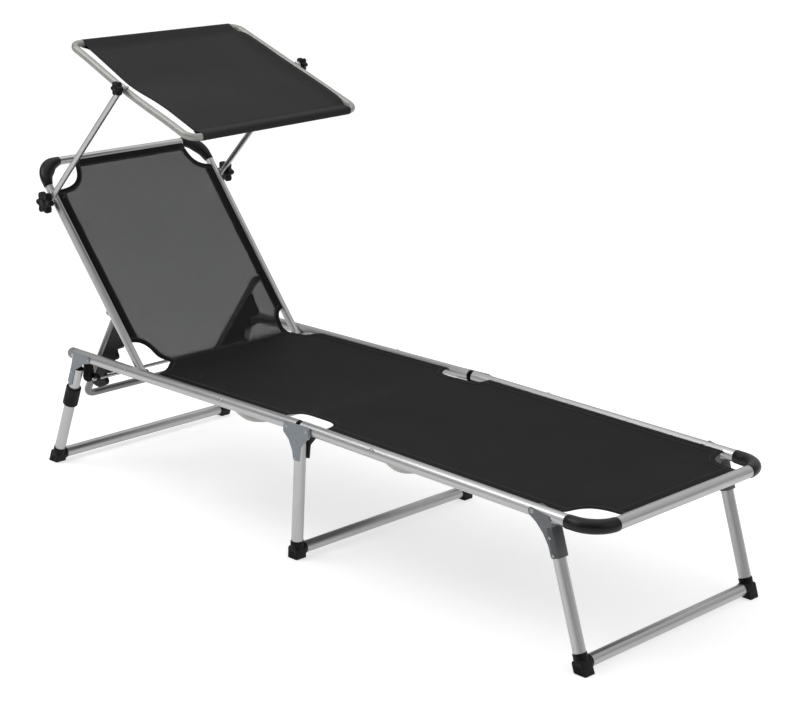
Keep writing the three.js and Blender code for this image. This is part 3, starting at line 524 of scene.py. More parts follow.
def weave(name, dark, light, holes=True, rough=0.62, sheen=0.12, pitch=PITCH, depth=0.9):
    """Plain weave of coated yarns. The attribute cloth holds the place on the flat cut in metres and, in its third
    number, how open the weave is there: between the yarns the cloth is see-through."""
    g = Graph(name)
    at = g.attr("cloth")
    sep = g.node("ShaderNodeSeparateXYZ", {0: at})
    wander = g.noise(g.scaled(at, (30, 30, 0)), 1.0, 3.0, 0.6)
    u = g.math("ADD", g.math("MULTIPLY", sep.outputs[0], math.pi / pitch), g.span(wander, 0, 1, -0.9, 0.9))
    v = g.math("ADD", g.math("MULTIPLY", sep.outputs[1], math.pi / pitch), g.span(wander, 0, 1, 0.9, -0.9))
    cu, cv = g.math("COSINE", u), g.math("COSINE", v)
    wu, wv = g.math("ABSOLUTE", cu), g.math("ABSOLUTE", cv)
    su, sv = g.math("SIGN", cu), g.math("SIGN", cv)
    warp = g.math("ADD", g.math("MULTIPLY", g.math("SQRT", wu), 0.62), g.math("MULTIPLY", g.math("MULTIPLY", su, cv), 0.38))
    weft = g.math("SUBTRACT", g.math("MULTIPLY", g.math("SQRT", wv), 0.62), g.math("MULTIPLY", g.math("MULTIPLY", sv, cu), 0.38))
    height = g.math("MAXIMUM", warp, weft)
    yarn = g.noise(g.scaled(at, (2600, 60, 0)), 1.0, 2.0)
    yarn2 = g.noise(g.scaled(at, (60, 2600, 0)), 1.0, 2.0)
    patch = g.noise(g.scaled(at, (9, 9, 0)), 1.0, 4.0, 0.6)
    tone = g.math("ADD", g.math("MULTIPLY", g.math("ADD", yarn, yarn2), 0.35), g.math("MULTIPLY", patch, 0.3))
    # the yarns are darker where they dip between crossings: painted shade in the weave's hollows, on top of the random
    # yarn tone
    tone = g.math("MULTIPLY", g.span(tone, 0.3, 0.7, 0.2, 1.0), g.span(height, -0.1, 0.9, 0.45, 1.0), clamp=True)
    g.set(Base_Color=g.mix(tone, rgb(dark), rgb(light, (1.0, 1.0, 1.02))))
    g.set(Roughness=g.span(height, 0.0, 1.0, rough + 0.2, rough - 0.04))
    g.set(Sheen_Weight=sheen, Sheen_Roughness=0.45, Specular_IOR_Level=0.07)
    g.bump(g.math("ADD", height, g.math("MULTIPLY", g.noise(at, 3500.0, 2.0), 0.15)), depth, 0.0001)
    if holes:
        # the gap between yarns is where both are nearly at their edges; "open" widens it
        lim = sep.outputs[2]
        gap = g.math("MULTIPLY", g.math("LESS_THAN", wu, lim), g.math("LESS_THAN", wv, lim))
        g.set(Alpha=g.math("SUBTRACT", 1.0, gap))
    return g.mat


ALU = aluminium("satin_aluminium", 0.38, 0.48, (0.29, 0.40))
ALU_DULL = aluminium("satin_aluminium_frame", 0.37, 0.46, (0.33, 0.44), (1.0, 0.99, 0.95))
STEEL = painted("sprayed_steel", (0.185, 0.205, 0.225), 0.42, 0.35)
# darker copy of the sprayed steel: on the inner plates of the middle stand its dark tone is painted shade; the backrest
# bolts use it too
STEEL_DARK_AND_SHADE = painted("dark_sprayed_steel_and_painted_shade", (0.040, 0.042, 0.045), 0.45, 0.3, 0.3, 0.12)
PROP_PAINT = aluminium("prop_tube_grey", 0.18, 0.25, (0.36, 0.46), (1, 1, 1))
STEEL_RIVET = painted("steel_rivet", (0.34, 0.35, 0.36), 0.34, 0.8, 0.7, 0.5)
# darker copy of the sprayed steel for the front brackets: painted shade
STEEL_FRONT_SHADED = painted("sprayed_steel_front_painted_shade", (0.115, 0.122, 0.130), 0.42, 0.4)
# still darker copy of the sprayed steel for the front brackets' wrap: painted shade on the side that faces the foot end
STEEL_WRAP_SHADED = painted("sprayed_steel_wrap_painted_shade", (0.062, 0.066, 0.070), 0.45, 0.4)
RIVET = aluminium("rivet_metal", 0.40, 0.48, (0.34, 0.42), (1, 1, 1.01))
FRAME_GREY = painted("canopy_frame_grey", (0.295, 0.293, 0.276), 0.46, 0.5, 0.2)
BLACK = plastic("black_plastic", (0.0060, 0.0060, 0.0063), 0.40, spec=0.13)
BLACK_SOFT = plastic("black_corner_plastic", (0.0062, 0.0062, 0.0065), 0.33, 0.7, 900.0, spec=0.2)
GREY = plastic("grey_plastic", (0.215, 0.22, 0.22), 0.48, spec=0.4)
MESH = weave("coated_yarn_mesh", 0.0048, 0.0150, sheen=0.015)
HEM = weave("coated_yarn_hem", 0.0022, 0.0068, holes=False, rough=0.6, sheen=0.01)
CANOPY_CLOTH = weave("canopy_cloth", 0.013, 0.030, rough=0.7, sheen=0.03, pitch=0.0009, depth=0.6)
CANOPY_HEM = weave("canopy_hem", 0.010, 0.026, holes=False, rough=0.68, sheen=0.03, pitch=0.0009, depth=0.6)


def thread_material():
    g = Graph("sewing_thread")
    at = g.attr("local")
    n = g.noise(at, 5200.0, 2.0)
    g.set(Base_Color=g.mix(n, rgb(0.030), rgb(0.090)), Roughness=g.span(n, 0, 1, 0.5, 0.8), Specular_IOR_Level=0.2)
    g.bump(n, 0.4, 0.0001)
    return g.mat


THREAD = thread_material()

# ---------------------------------------------------------------- middle stand
T_PLATE = [(37.5, 298), (-41.5, 300), (-39, 275), (-32.5, 272), (-13.3, 251), (-10, 220.4), (10, 219.5), (12.5, 238), (23.3, 261), (40, 275)]
T_ROUND = [5, 3, 4, 6, 14, 4, 4, 14, 16, 5]
T_RIVETS = [(-FOLD_Y, RAIL_Z, 4.9), (FOLD_Y, RAIL_Z, 4.9), (4, 259.5, 3.0), (4, 225, 3.0)]
for side, s in SIDES:
    b = Build()
    plate_x(b, fillet(T_PLATE, T_ROUND), s * PLATE_IN, s * PLATE_OUT, 0.45)
    # flange bent outwards along the edge towards the foot end
    plate_x(b, fillet([(-41.2, 279), (-39.7, 279), (-39.7, 298.2), (-41.2, 298.2)], 0.5, 2), s * PLATE_IN, s * (PLATE_OUT + 2.4), 0.3)
    piece(f"mid_plate_outer_look_{side}", b, STEEL, "middle_stand", [f"mid_plate_outer_{side}"])
    b = Build()
    plate_x(b, fillet([(37.5, 281.5), (-41.5, 283), (-39, 275), *T_PLATE[3:]], [3, 2, 3, *T_ROUND[3:]]), s * INNER_IN, s * INNER_OUT, 0.45)
    # the inner plate takes the darker steel copy: painted shade on its side away from the light
    piece(f"mid_plate_inner_look_{side}", b, STEEL_DARK_AND_SHADE, "middle_stand", [f"mid_plate_inner_{side}"])
    b = Build()
    for y, z, head in T_RIVETS:
        rivet(b, (s * PLATE_OUT, y, z), (s, 0, 0), head, 1.5, 0.0 if head < 4 else 1.9)
        if z < 280:
            rivet(b, (s * INNER_IN, y, z), (-s, 0, 0), head * 0.8, 1.2)
        sweep(b, [(s * ((INNER_IN if z < 280 else 244) + 0.5), y, z), (s * (PLATE_OUT - 0.5), y, z)], 2.6, 16, chamfer=0.2)
    piece(f"mid_rivets_{side}", b, STEEL_RIVET, "middle_stand")


def leg_frame(leg):
    (ty, tz), (fy, fz) = leg["top"], leg["foot"]
    length = math.hypot(ty - fy, tz - fz)
    return length, ((ty - fy) / length, (tz - fz) / length)


def span_at(outline, z):
    """Where a closed outline begins and ends at height z."""
    ys = []
    for (y0, z0), (y1, z1) in zip(outline, [*outline[1:], outline[0]]):
        if (z0 - z) * (z1 - z) <= 0 and z0 != z1:
            ys.append(y0 + (y1 - y0) * (z - z0) / (z1 - z0))
    return (min(ys), max(ys)) if ys else (0.0, 0.0)


def shoe(name, s, leg, body, node):
    """Moulded shoe: a block round the leg's end with a collar for the leg, one for the floor bar and a ribbed tread."""
    _, d = leg_frame(leg)
    fy, fz = leg["foot"]
    n = (d[1], -d[0])

    def at(a, w):
        return (fy + d[0] * a + n[0] * w, fz + d[1] * a + n[1] * w)

    h = 13.9
    # the floor cuts the block level
    def down(w):
        k = -(fz + n[1] * w) / d[1]
        return at(max(k, -26), w)

    low = [down(-h), down(-h * 0.5), down(0), down(h * 0.5), down(h)]
    outline = fillet([at(9, h), at(9, -h), *low], [5.5, 5.5, 4.5, 0, 0, 0, 4.5], 6)
    outline = [(y, max(z, 0.0)) for y, z in outline]
    b = Build()
    plate_x(b, outline, s * 238.5, s * 268.0, 3.6, 6)
    lathe(b, (s * RAIL_X, *at(2, 0)), (0, d[0], d[1]), [(12.7, 0), (14.0, 0), (14.0, 18.0), (13.6, 19.0), (12.95, 19.3), (12.7, 19.0)], 44)
    lathe(b, (s * 246, fy, fz), (-s, 0, 0), [(12.7, 0), (14.0, 0), (14.0, 10.0), (13.6, 11.0), (12.95, 11.3), (12.7, 11.0)], 44)
    # ribs on the outer side, and a stepped tread above the floor
    for k in range(3):
        z0 = 4.6 + k * 4.8
        y0, y1 = span_at(outline, z0 + 0.8)
        y0, y1 = y0 + 5.5, y1 - 5.5
        if y1 - y0 > 8:
            plate_x(b, fillet([(y0, z0), (y1, z0), (y1, z0 + 1.5), (y0, z0 + 1.5)], 0.7, 3), s * 267.4, s * 268.7, 0.4)
    for k in range(6):
        x = 241.5 + k * 4.4
        for w in (h, -h):
            y, z = down(w * 0.97)
            prism(b, fillet([(-1.1, 0.2), (1.1, 0.2), (1.1, 6.2), (-1.1, 6.2)], 0.7, 3), (s * x, y, z), (1, 0, 0), (0, d[0], d[1]), -0.7, 0.7, 0.25)
    return piece(name, b, BLACK, body, [node])


def leg_tube(name, s, leg, body, node, top=None):
    length, d = leg_frame(leg)
    fy, fz = leg["foot"]
    b = Build()
    low = (s * RAIL_X, fy + d[0] * 15, fz + d[1] * 15)
    sweep(b, [(s * RAIL_X, *(top or leg["top"])), low], LEG_R, 48, LEG_R - 1.2, 0.35)
    return piece(name, b, ALU, body, [node])


def floor_bar(name, leg, body, node):
    b = Build()
    sweep(b, [(-BAR_END, *leg["foot"]), (0, *leg["foot"]), (BAR_END, *leg["foot"])], LEG_R, 48, LEG_R - 1.2, 0.35)
    return piece(name, b, ALU, body, [node])


for side, s in SIDES:
    leg_tube(f"mid_leg_look_{side}", s, MID_LEG, "middle_stand", f"mid_leg_{side}")
    shoe(f"mid_shoe_{side}", s, MID_LEG, "middle_stand", f"mid_foot_{side}")
floor_bar("mid_floor_bar_look", MID_LEG, "middle_stand", "mid_floor_bar")

# ---------------------------------------------------------------- rails
PLUG = [(0, 0.4), (4, 0.7), (8, 1.6), (11, 2.9), (12.1, 4.3), (12.35, 5.2), (12.35, 5.9), (11.2, 6.0), (11.2, 9), (0, 9)]
SLOT_Y = {1: (64, 478), -1: (-684, -64)}


def lips(b, line, out, r=0.95, apart=1.55):
    """The two lips of the slot that holds the fabric's edge cord: line of points on the tube's surface, out the outward direction."""
    line = np.asarray(line, float)
    t = unit(line[-1] - line[0])
    across = unit(np.cross(t, out))
    for q in (-1, 1):
        sweep(b, line + across * q * apart - np.asarray(out) * 0.35, r, 12, chamfer=0.3)


for side, s in SIDES:
    for part, sign, end in (("head", 1, HEAD_RAIL_END), ("foot", -1, FOOT_RAIL_END)):
        b = Build()
        y0 = sign * RAIL_SPLIT
        ends = [(s * RAIL_X, y0, rail_z(y0)), (s * RAIL_X, (y0 + end) / 2, rail_z((y0 + end) / 2)), (s * RAIL_X, end, rail_z(end))]
        sweep(b, ends, RAIL_R, 56, RAIL_R - RAIL_WALL, 0.35)
        ang = math.asin(SEAT_ABOVE / RAIL_R)
        out = np.array([-s * math.cos(ang), 0, math.sin(ang)])
        line = [np.array([s * RAIL_X, y, rail_z(y)]) + out * RAIL_R for y in SLOT_Y[sign]]
        lips(b, line, out)
        piece(f"{part}_rail_look_{side}", b, ALU, f"{part}_section", [f"{part}_rail_{side}"])
        b = Build()
        lathe(b, (s * RAIL_X, 0, rail_z(0)), (0, sign, -RAIL_DROP), PLUG, 48)
        piece(f"{part}_fold_plug_{side}", b, BLACK, f"{part}_section")
    b = Build()
    L = HEAD_CAP_END - HEAD_RAIL_END - 0.6
    lathe(b, (s * RAIL_X, HEAD_RAIL_END + 0.3, rail_z(HEAD_RAIL_END)), (0, 1, -RAIL_DROP),
          [(0, -4), (11.1, -4), (11.1, 0), (12.95, 0), (12.95, 1.6), (12.7, 2.0), (12.7, L - 6.5), (12.3, L - 4.6), (11.2, L - 2.4), (9.4, L - 0.9), (6.5, L - 0.1), (0, L)], 48)
    piece(f"head_end_cap_look_{side}", b, GREY, "head_section", [f"head_end_cap_{side}"])
    # corner sleeve at the foot end, thickest in the middle of its bend
    ys, ze = FOOT_RAIL_END - 0.3, rail_z(END_TUBE_Y)
    a, c, e = (s * RAIL_X, ys, ze + 0.4), (s * RAIL_X, END_TUBE_Y, ze), (s * 200, END_TUBE_Y, ze)
    pts = [np.array(a), *bend(a, c, e, CORNER_BEND - 0.5, 20), np.array(e)]
    b = Build()
    corner_sleeve(b, pts, bend_centre(a, c, e, CORNER_BEND - 0.5), (0, 0, 1), 13.6, 4.5)
    piece(f"foot_corner_look_{side}", b, BLACK_SOFT, "foot_section", [f"foot_corner_sleeve_{side}"])
b = Build()
sweep(b, [(-199.7, END_TUBE_Y, rail_z(END_TUBE_Y)), (0, END_TUBE_Y, rail_z(END_TUBE_Y)), (199.7, END_TUBE_Y, rail_z(END_TUBE_Y))], RAIL_R, 56, RAIL_R - RAIL_WALL, 0.35)
ang = math.asin(SEAT_ABOVE / RAIL_R)
out = np.array([0, math.cos(ang), math.sin(ang)])
lips(b, [np.array([x, END_TUBE_Y, rail_z(END_TUBE_Y)]) + out * RAIL_R for x in (-173, 173)], out)
piece("foot_end_tube_look", b, ALU, "foot_section", ["foot_end_tube"])


def brace(name, y, body, node):
    z = rail_z(y)
    half = [(241.9, -11), (236, -11.8), (225, -18), (210, -33), (190, -48), (162, -59), (120, -65.5)]
    pts = [(-x, y, z + d) for x, d in half] + [(0, y, z - 68)] + [(x, y, z + d) for x, d in half[::-1]]
    b = Build()
    sweep(b, smooth_path(pts, 6), 7, 32, chamfer=0.6)
    piece(name, b, ALU_DULL, body, [node])
    b = Build()
    for s in (-1, 1):
        d = np.array([s * math.cos(math.radians(30)), 0, math.sin(math.radians(30))])
        lathe(b, np.array([s * RAIL_X, y, z]) + d * (RAIL_R - 1.2), d, [(0, 0), (6.3, 0), (6.3, 1.6), (5.7, 2.2), (4.6, 2.3), (4.2, 1.7), (0, 1.7)], 36)
        rivet(b, np.array([s * RAIL_X, y, z]) + d * (RAIL_R + 0.6), d, 4.2, 1.6, 1.7)
    piece(name + "_rivets", b, RIVET, body)


brace("head_brace_look", 240, "head_section", "head_brace")
brace("foot_brace_look", -215, "foot_section", "foot_brace")
b = Build()
for s in (-1, 1):
    d = np.array([s * math.cos(math.radians(18)), 0, math.sin(math.radians(18))])
    rivet(b, np.array([s * RAIL_X, 570, rail_z(570)]) + d * (RAIL_R - 0.1), d, 3.6, 1.4, 1.1)
    d = np.array([s * math.cos(math.radians(25)), 0, -math.sin(math.radians(25))])
    rivet(b, np.array([s * RAIL_X, 744, rail_z(744)]) + d * (RAIL_R - 0.1), d, 3.4, 1.3, 1.0)
piece("head_rail_rivets", b, RIVET, "head_section")

# rest bar, hangers and backrest bolts
b = Build()
sweep(b, [(-235.5, *REST_BAR), (0, *REST_BAR), (235.5, *REST_BAR)], REST_BAR_R, 24, chamfer=0.5)
piece("prop_rest_bar_look", b, ALU_DULL, "head_section", ["prop_rest_bar"])
HANGER = [(745, 262), (744, 240), (743, 216), (752, 212.5), (762, 213.5), (768, 216), (770.5, 222), (768, 238), (766, 262)]
for side, s in SIDES:
    b = Build()
    plate_x(b, fillet(HANGER, [1, 3, 5, 3, 4, 4, 4, 3, 1], 5), s * 221, s * 234.5, 1.6, 4)
    # lug that holds the end of the rest bar
    plate_x(b, fillet([(722.5, 217.5), (748, 214), (748, 234), (735, 234.5), (723.5, 230.5)], 5, 5), s * 218, s * 225, 1.2, 3)
    # saddle that reaches up beside the rail
    saddle = [(219, 255), (233.5, 255), (240.6, 263), (240.9, 268.0), (239.8, 274.2), (219, 274.2)]
    prism(b, fillet([(s * x, z) for x, z in saddle], 1.2, 3), (0, 756, 0), (1, 0, 0), (0, 0, 1), -12, 12, 1.0, 3)
    # recessed bosses on the inner face
    for k, (yy, zz) in enumerate(((750, 250), (759, 236), (754, 221))):
        lathe(b, (s * 221.1, yy, zz), (-s, 0, 0), [(0, -0.4), (3.2, -0.4), (3.2, 0.3), (2.7, 0.6), (0, 0.7)], 24)
    piece(f"hanger_look_{side}", b, BLACK, "head_section", [f"hanger_{side}"])
    b = Build()
    p = (s * 219.5, *BACK_PIVOT)
    lathe(b, p, (-s, 0, 0), [(0, 0), (7.6, 0), (7.6, 1.0), (7.2, 1.6), (5.4, 2.7), (3.4, 3.3), (0, 3.4)], 32)
    sweep(b, [(s * 219, *BACK_PIVOT), (s * 250, *BACK_PIVOT)], 4, 24)
    lathe(b, (s * 239.9, *BACK_PIVOT), (s, 0, 0), [(0, 0), (6.5, 0), (6.5, 1.2), (0, 1.2)], 32)
    piece(f"backrest_bolt_look_{side}", b, STEEL_DARK_AND_SHADE, "head_section", [f"backrest_bolt_{side}"])

# ---------------------------------------------------------------- rear and front legs
WRAP = [(14.3, -3), (14.3, 7.4), (12.9, 11.2), (9.2, 13.6), (4, 14.4), (-4, 14.4), (-9.2, 13.6), (-12.9, 11.2), (-14.3, 7.4), (-14.3, -3)]
WRAP_IN = [(12.8, -3), (12.8, 6.9), (11.5, 10.1), (8.4, 12.2), (3.7, 13), (-3.7, 13), (-8.4, 12.2), (-11.5, 10.1), (-12.8, 6.9), (-12.8, -3)]
REAR_PLATE = [(703, 291), (742, 289), (757, 284), (762, 272), (768, 252), (774.5, 232), (782, 209.5), (769.5, 206.5), (765.5, 217), (758.5, 236), (754.5, 248), (747, 252), (732, 260.5), (718, 270), (700, 274), (695.5, 282), (697, 288)]
FRONT_PLATE = [(-633.7, 293.5), (-656.9, 289.2), (-675.5, 285.4), (-681.9, 273.6), (-684.4, 257), (-688.5, 233.7), (-695.2, 208), (-684.5, 207), (-676.9, 229), (-663.6, 250), (-645.3, 267.8), (-629, 277.7), (-625.6, 284.4), (-627.5, 290.5)]
REAR_RIVETS, FRONT_RIVETS = [(765.9, 241.2), (774.2, 213.5)], [(-680, 245.3), (-689.5, 213.5)]


def wrap(b, s, leg, outward, a0, a1, inner_from):
    """Sheet bent round the far side of the leg tube."""
    length, up = leg_frame(leg)
    d = np.array([0, -up[0], -up[1]])
    w = np.array([0, -d[2] * outward, d[1] * outward])
    if np.sign(w[1]) != outward:
        w = -w
    so = smooth_path([np.array([x, y, 0]) for x, y in WRAP], 3)
    si = smooth_path([np.array([x, y, 0]) for x, y in WRAP_IN], 3)
    outline = [(p[0], p[1]) for p in so] + [(p[0], p[1]) for p in si[::-1]]
    outline = [(u, v if (u > 0 or v >= inner_from) else inner_from) for u, v in outline]
    keep = []
    for p in outline:
        if not keep or math.hypot(p[0] - keep[-1][0], p[1] - keep[-1][1]) > 0.05:
            keep.append(p)
    origin = np.array([s * RAIL_X, *leg["top"]]) + d * a0
    ex, ey = np.array([s, 0, 0], float), w
    ez = np.cross(ex, ey)
    span = (a1 - a0) * (1 if ez @ d > 0 else -1)
    prism(b, keep, origin, ex, ey, 0, span, 0.3, wear=0.0)


for side, s in SIDES:
    for part, plate, leg, outward, a0, a1, inner, rivets, body in (
        ("rear", REAR_PLATE, REAR_LEG, 1, -2, 40, 4, REAR_RIVETS, "rear_leg"),
        ("front", FRONT_PLATE, FRONT_LEG, -1, -15, 43, -3, FRONT_RIVETS, "front_leg"),
    ):
        b = Build()
        plate_x(b, fillet(plate, 5, 5), s * PLATE_IN, s * PLATE_OUT, 0.45)
        if part == "front":
            plate_x(b, fillet(plate, 5, 5), s * INNER_IN, s * INNER_OUT, 0.45)
        if part == "rear":
            wrap(b, s, leg, outward, a0, a1, inner)
        # the front brackets take the darker copy of the sprayed steel: painted shade
        piece(f"{part}_bracket_look_{side}", b, STEEL if part == "rear" else STEEL_FRONT_SHADED, body, [f"{part}_bracket_{side}"])
        if part == "front":
            b = Build()
            wrap(b, s, leg, outward, a0, a1, inner)
            # the wrap is in a darker steel than its bracket: painted shade
            piece(f"front_bracket_wrap_{side}", b, STEEL_WRAP_SHADED, body)
        b = Build()
        rivet(b, (s * PLATE_OUT, *leg["pivot"]), (s, 0, 0), 4.9, 1.5, 2.0)
        if part == "front":
            rivet(b, (s * INNER_IN, *leg["pivot"]), (-s, 0, 0), 4.4, 1.2)
        for p in rivets:
            rivet(b, (s * PLATE_OUT, *p), (s, 0, 0), 2.9, 1.4)
        piece(f"{part}_bracket_rivets_{side}", b, STEEL_RIVET, body)
        leg_tube(f"{part}_leg_look_{side}", s, leg, body, f"{part}_leg_{side}")
        shoe(f"{part}_shoe_{side}", s, leg, body, f"{part}_foot_{side}")

    # fluted lock sleeve
    length, up = leg_frame(REAR_LEG)
    (ty, tz), d = REAR_LEG["top"], (-up[0], -up[1])
    start = (tz - 200) / -d[1]
    b = Build()
    N = 144
    levels = [(0, 1.5), (0.5, 0.6), (1.4, 0.0), (4.2, 0.0), (4.9, -0.0), (46.6 - 3, 0.0), (46.6, 0.0), (47.5, 0.6), (48, 1.5)]
    v, loc = [], []
    o = np.array([s * RAIL_X, ty + d[0] * start, tz + d[1] * start])
    ez = np.array([0, *d])
    ex = np.array([1.0, 0, 0])
    ey = np.cross(ez, ex)
    for a, inset in levels:
        flute = 0.0 if a < 4.5 else (0.9 if a < 45 else 0.0)
        for k in range(N):
            q = 2 * math.pi * k / N
            r = 17.5 - inset - flute * (0.5 + 0.5 * math.cos(24 * q)) ** 1.5
            v.append(o + ez * a + ex * r * math.cos(q) + ey * r * math.sin(q))
            loc.append((r * math.cos(q), r * math.sin(q), a))
    m = len(levels)
    for a in (48, 0):
        for k in range(N):
            q = 2 * math.pi * k / N
            v.append(o + ez * a + (ex * math.cos(q) + ey * math.sin(q)) * 12.8)
            loc.append((12.8 * math.cos(q), 12.8 * math.sin(q), a))
    f = ring_faces(m + 2, N) + [((m + 1) * N + j, (m + 1) * N + (j + 1) % N, (j + 1) % N, j) for j in range(N)]
    b.put(v, f, loc)
    piece(f"lock_sleeve_look_{side}", b, BLACK, f"lock_sleeve_{side}", [f"lock_sleeve_{side}"])
floor_bar("rear_floor_bar_look", REAR_LEG, "rear_leg", "rear_floor_bar")
floor_bar("front_floor_bar_look", FRONT_LEG, "front_leg", "front_floor_bar")

# ---------------------------------------------------------------- backrest
PROP_TOP = back(PROP_T, -PROP_BEHIND)
PROP_L = math.hypot(PROP_END[0] - PROP_TOP[0], PROP_END[1] - PROP_TOP[1])
ARM_FOOT = back(ARM_T)
for side, s in SIDES:
    def at(t, n=0.0):
        return np.array([s * back_x(t), *back(t, n)])

    b = Build()
    sweep(b, [at(0.5), at(3), at(250), at(BACK_SLEEVE_FROM - 0.3)], BACK_R, 48, chamfer=0.8, radii=[6.5, 9.3, BACK_R, BACK_R])
    plate_x(b, disc(BACK_PIVOT, 8.6, 40), s * 222.5, s * 239, 1.2, 3)
    ear = [back(PROP_T - 20, -8), back(PROP_T - 9, -17), *[back(PROP_T + t, [-20, -21.5, -21.2, -18.5][i]) for i, t in enumerate([-6, -2, 3, 8])], back(PROP_T + 20, -8)]
    plate_x(b, fillet(ear, 3, 4), s * 228, s * 232, 0.6, 2)
    nb = BACK_ABOVE
    ox = math.sqrt(BACK_R ** 2 - nb ** 2)
    out = unit(np.array([-s * ox, BN[0] * nb, BN[1] * nb]))
    line = [np.array([s * back_x(t), *back(t)]) + out * BACK_R for t in (78, 478)]
    lips(b, line, out, 0.8, 1.35)
    piece(f"back_tube_look_{side}", b, ALU, "backrest", [f"back_tube_{side}"])
    a, c, e = at(BACK_SLEEVE_FROM), at(BACK_TOP), np.array([s * BACK_SLEEVE_X, *back(BACK_TOP)])
    b = Build()
    corner_sleeve(b, [a, *bend(a, c, e, BACK_BEND, 20), e], bend_centre(a, c, e, BACK_BEND), (0, *BN), BACK_R + 1.2, 14.0, 48, 1.0)
    piece(f"back_corner_look_{side}", b, BLACK_SOFT, "backrest", [f"back_corner_sleeve_{side}"])
b = Build()
sweep(b, [(-BACK_SLEEVE_X + 0.3, *back(BACK_TOP)), (0, *back(BACK_TOP)), (BACK_SLEEVE_X - 0.3, *back(BACK_TOP))], BACK_R, 48, BACK_R - 1.2, 0.3)
out = unit(np.array([0, -BD[0] * math.sqrt(BACK_R ** 2 - 6.5 ** 2) + BN[0] * 6.5, -BD[1] * math.sqrt(BACK_R ** 2 - 6.5 ** 2) + BN[1] * 6.5]))
lips(b, [np.array([x, *back(BACK_TOP)]) + out * BACK_R for x in (-146, 176)], out, 0.8, 1.35)
piece("back_top_tube_look", b, ALU, "backrest", ["back_top_tube"])

# ---------------------------------------------------------------- prop behind the backrest
PD = ((PROP_END[0] - PROP_TOP[0]) / PROP_L, (PROP_END[1] - PROP_TOP[1]) / PROP_L)
PN = (PD[1], -PD[0])


def prop(a, n=0.0):
    return (PROP_TOP[0] + PD[0] * a + PN[0] * n, PROP_TOP[1] + PD[1] * a + PN[1] * n)


b = Build()
corner = {}
for s in (-1, 1):
    a, c, e = (s * PROP_TOP_X, *prop(0)), (s * PROP_END_X, *prop(PROP_L)), (0, *prop(PROP_L))
    corner[s] = bend(a, c, e, 26, 14)
pts = [np.array((-PROP_TOP_X, *prop(0)))] + corner[-1] + corner[1][::-1] + [np.array((PROP_TOP_X, *prop(0)))]
sweep(b, pts, PROP_R + 0.9, 36, chamfer=0.6)
for s in (-1, 1):
    plate_x(b, disc(PROP_TOP, 8, 36), s * 197, s * 212.5, 1.5, 3)
    sweep(b, [(s * 200, *PROP_TOP), (s * 227.6, *PROP_TOP)], 4.9, 24, chamfer=0.3)
    sweep(b, [(s * 226, *PROP_TOP), (s * 236, *PROP_TOP)], 4, 24, chamfer=0.8)
piece("prop_bow_look", b, PROP_PAINT, "prop", ["prop_bow"])
RACK = [
    (-138.4, -25.3), (-130.4, -15.3), (-127.4, -4.3), (-123.4, 7.7), (-116.4, 12.2), (-106.4, 11.2), (-98.4, 5.7), (-92.4, -1.0), (-86.4, -2.6), (-80.9, 1.2), (-77.4, 8.2), (-71.4, 11.2), (-64.6, 8.9), (-59.4, 3.7), (-52.4, 1.2), (-42.4, 2.7), (-34.4, 8.2), (-26.4, 11.3), (-20.4, 9.3), (-13.4, 3.3), (-4.2, -4.9), (0.2, -6.1), (5.4, -3.9), (7.1, 2.7), (11.6, 8.7), (19.6, 9.2), (31.6, 2.7), (45.6, -6.3), (53.6, -20.3),
]
for side, s in SIDES:
    lean = math.atan2(s * (PROP_END_X - PROP_TOP_X), PROP_L)
    e1 = np.array([math.sin(lean), PD[0] * math.cos(lean), PD[1] * math.cos(lean)])
    e2 = np.array([0, *PN])
    e3 = np.cross(e1, e2)
    bar = ((REST_BAR[0] - PROP_TOP[0]) * PD[0] + (REST_BAR[1] - PROP_TOP[1]) * PD[1], (REST_BAR[0] - PROP_TOP[0]) * PN[0] + (REST_BAR[1] - PROP_TOP[1]) * PN[1])
    teeth = [(bar[0] + a, bar[1] + n) for a, n in RACK]
    outline = [(teeth[0][0], PROP_R + 0.4)] + teeth + [(teeth[-1][0] + 4, PROP_R + 0.4)]
    outline = fillet([(a / math.cos(lean), n) for a, n in outline], 3, 4)
    b = Build()
    prism(b, outline, (s * PROP_TOP_X, *PROP_TOP), e1, e2, -4.5, 4.5, 1.0, 3)
    # ribs that stiffen the rack's flat sides
    for a0 in range(int(bar[0] - 118), int(bar[0] + 30), 22):
        for q in (-1, 1):
            c0 = np.array((s * PROP_TOP_X, *PROP_TOP)) + e1 * (a0 / math.cos(lean)) + e2 * 10.0 + e3 * q * 4.3
            sweep(b, [c0, c0 + e2 * 6.0], 0.9, 12, chamfer=0.3)
    piece(f"prop_rack_look_{side}", b, BLACK, "prop", [f"prop_rack_{side}"])

# ---------------------------------------------------------------- canopy frame, arms and knobs
b = Build()
loop = []


def racked(x, a):
    """How far the canopy hangs down at its right front corner, fading to the other corners."""
    return 10.0 * max(0.0, min(1.0, 0.5 - x / (2 * CAN_X))) * max(0.0, min(1.0, 1 - a / CAN_L))


P = lambda x, a: np.array([x, *can(a)])
cs = [P(-CAN_X, 0), P(CAN_X, 0), P(CAN_X, CAN_L), P(-CAN_X, CAN_L)]
pts = []
for i in range(4):
    pts += bend(cs[i - 1], cs[i], cs[(i + 1) % 4], CAN_BEND, 12)
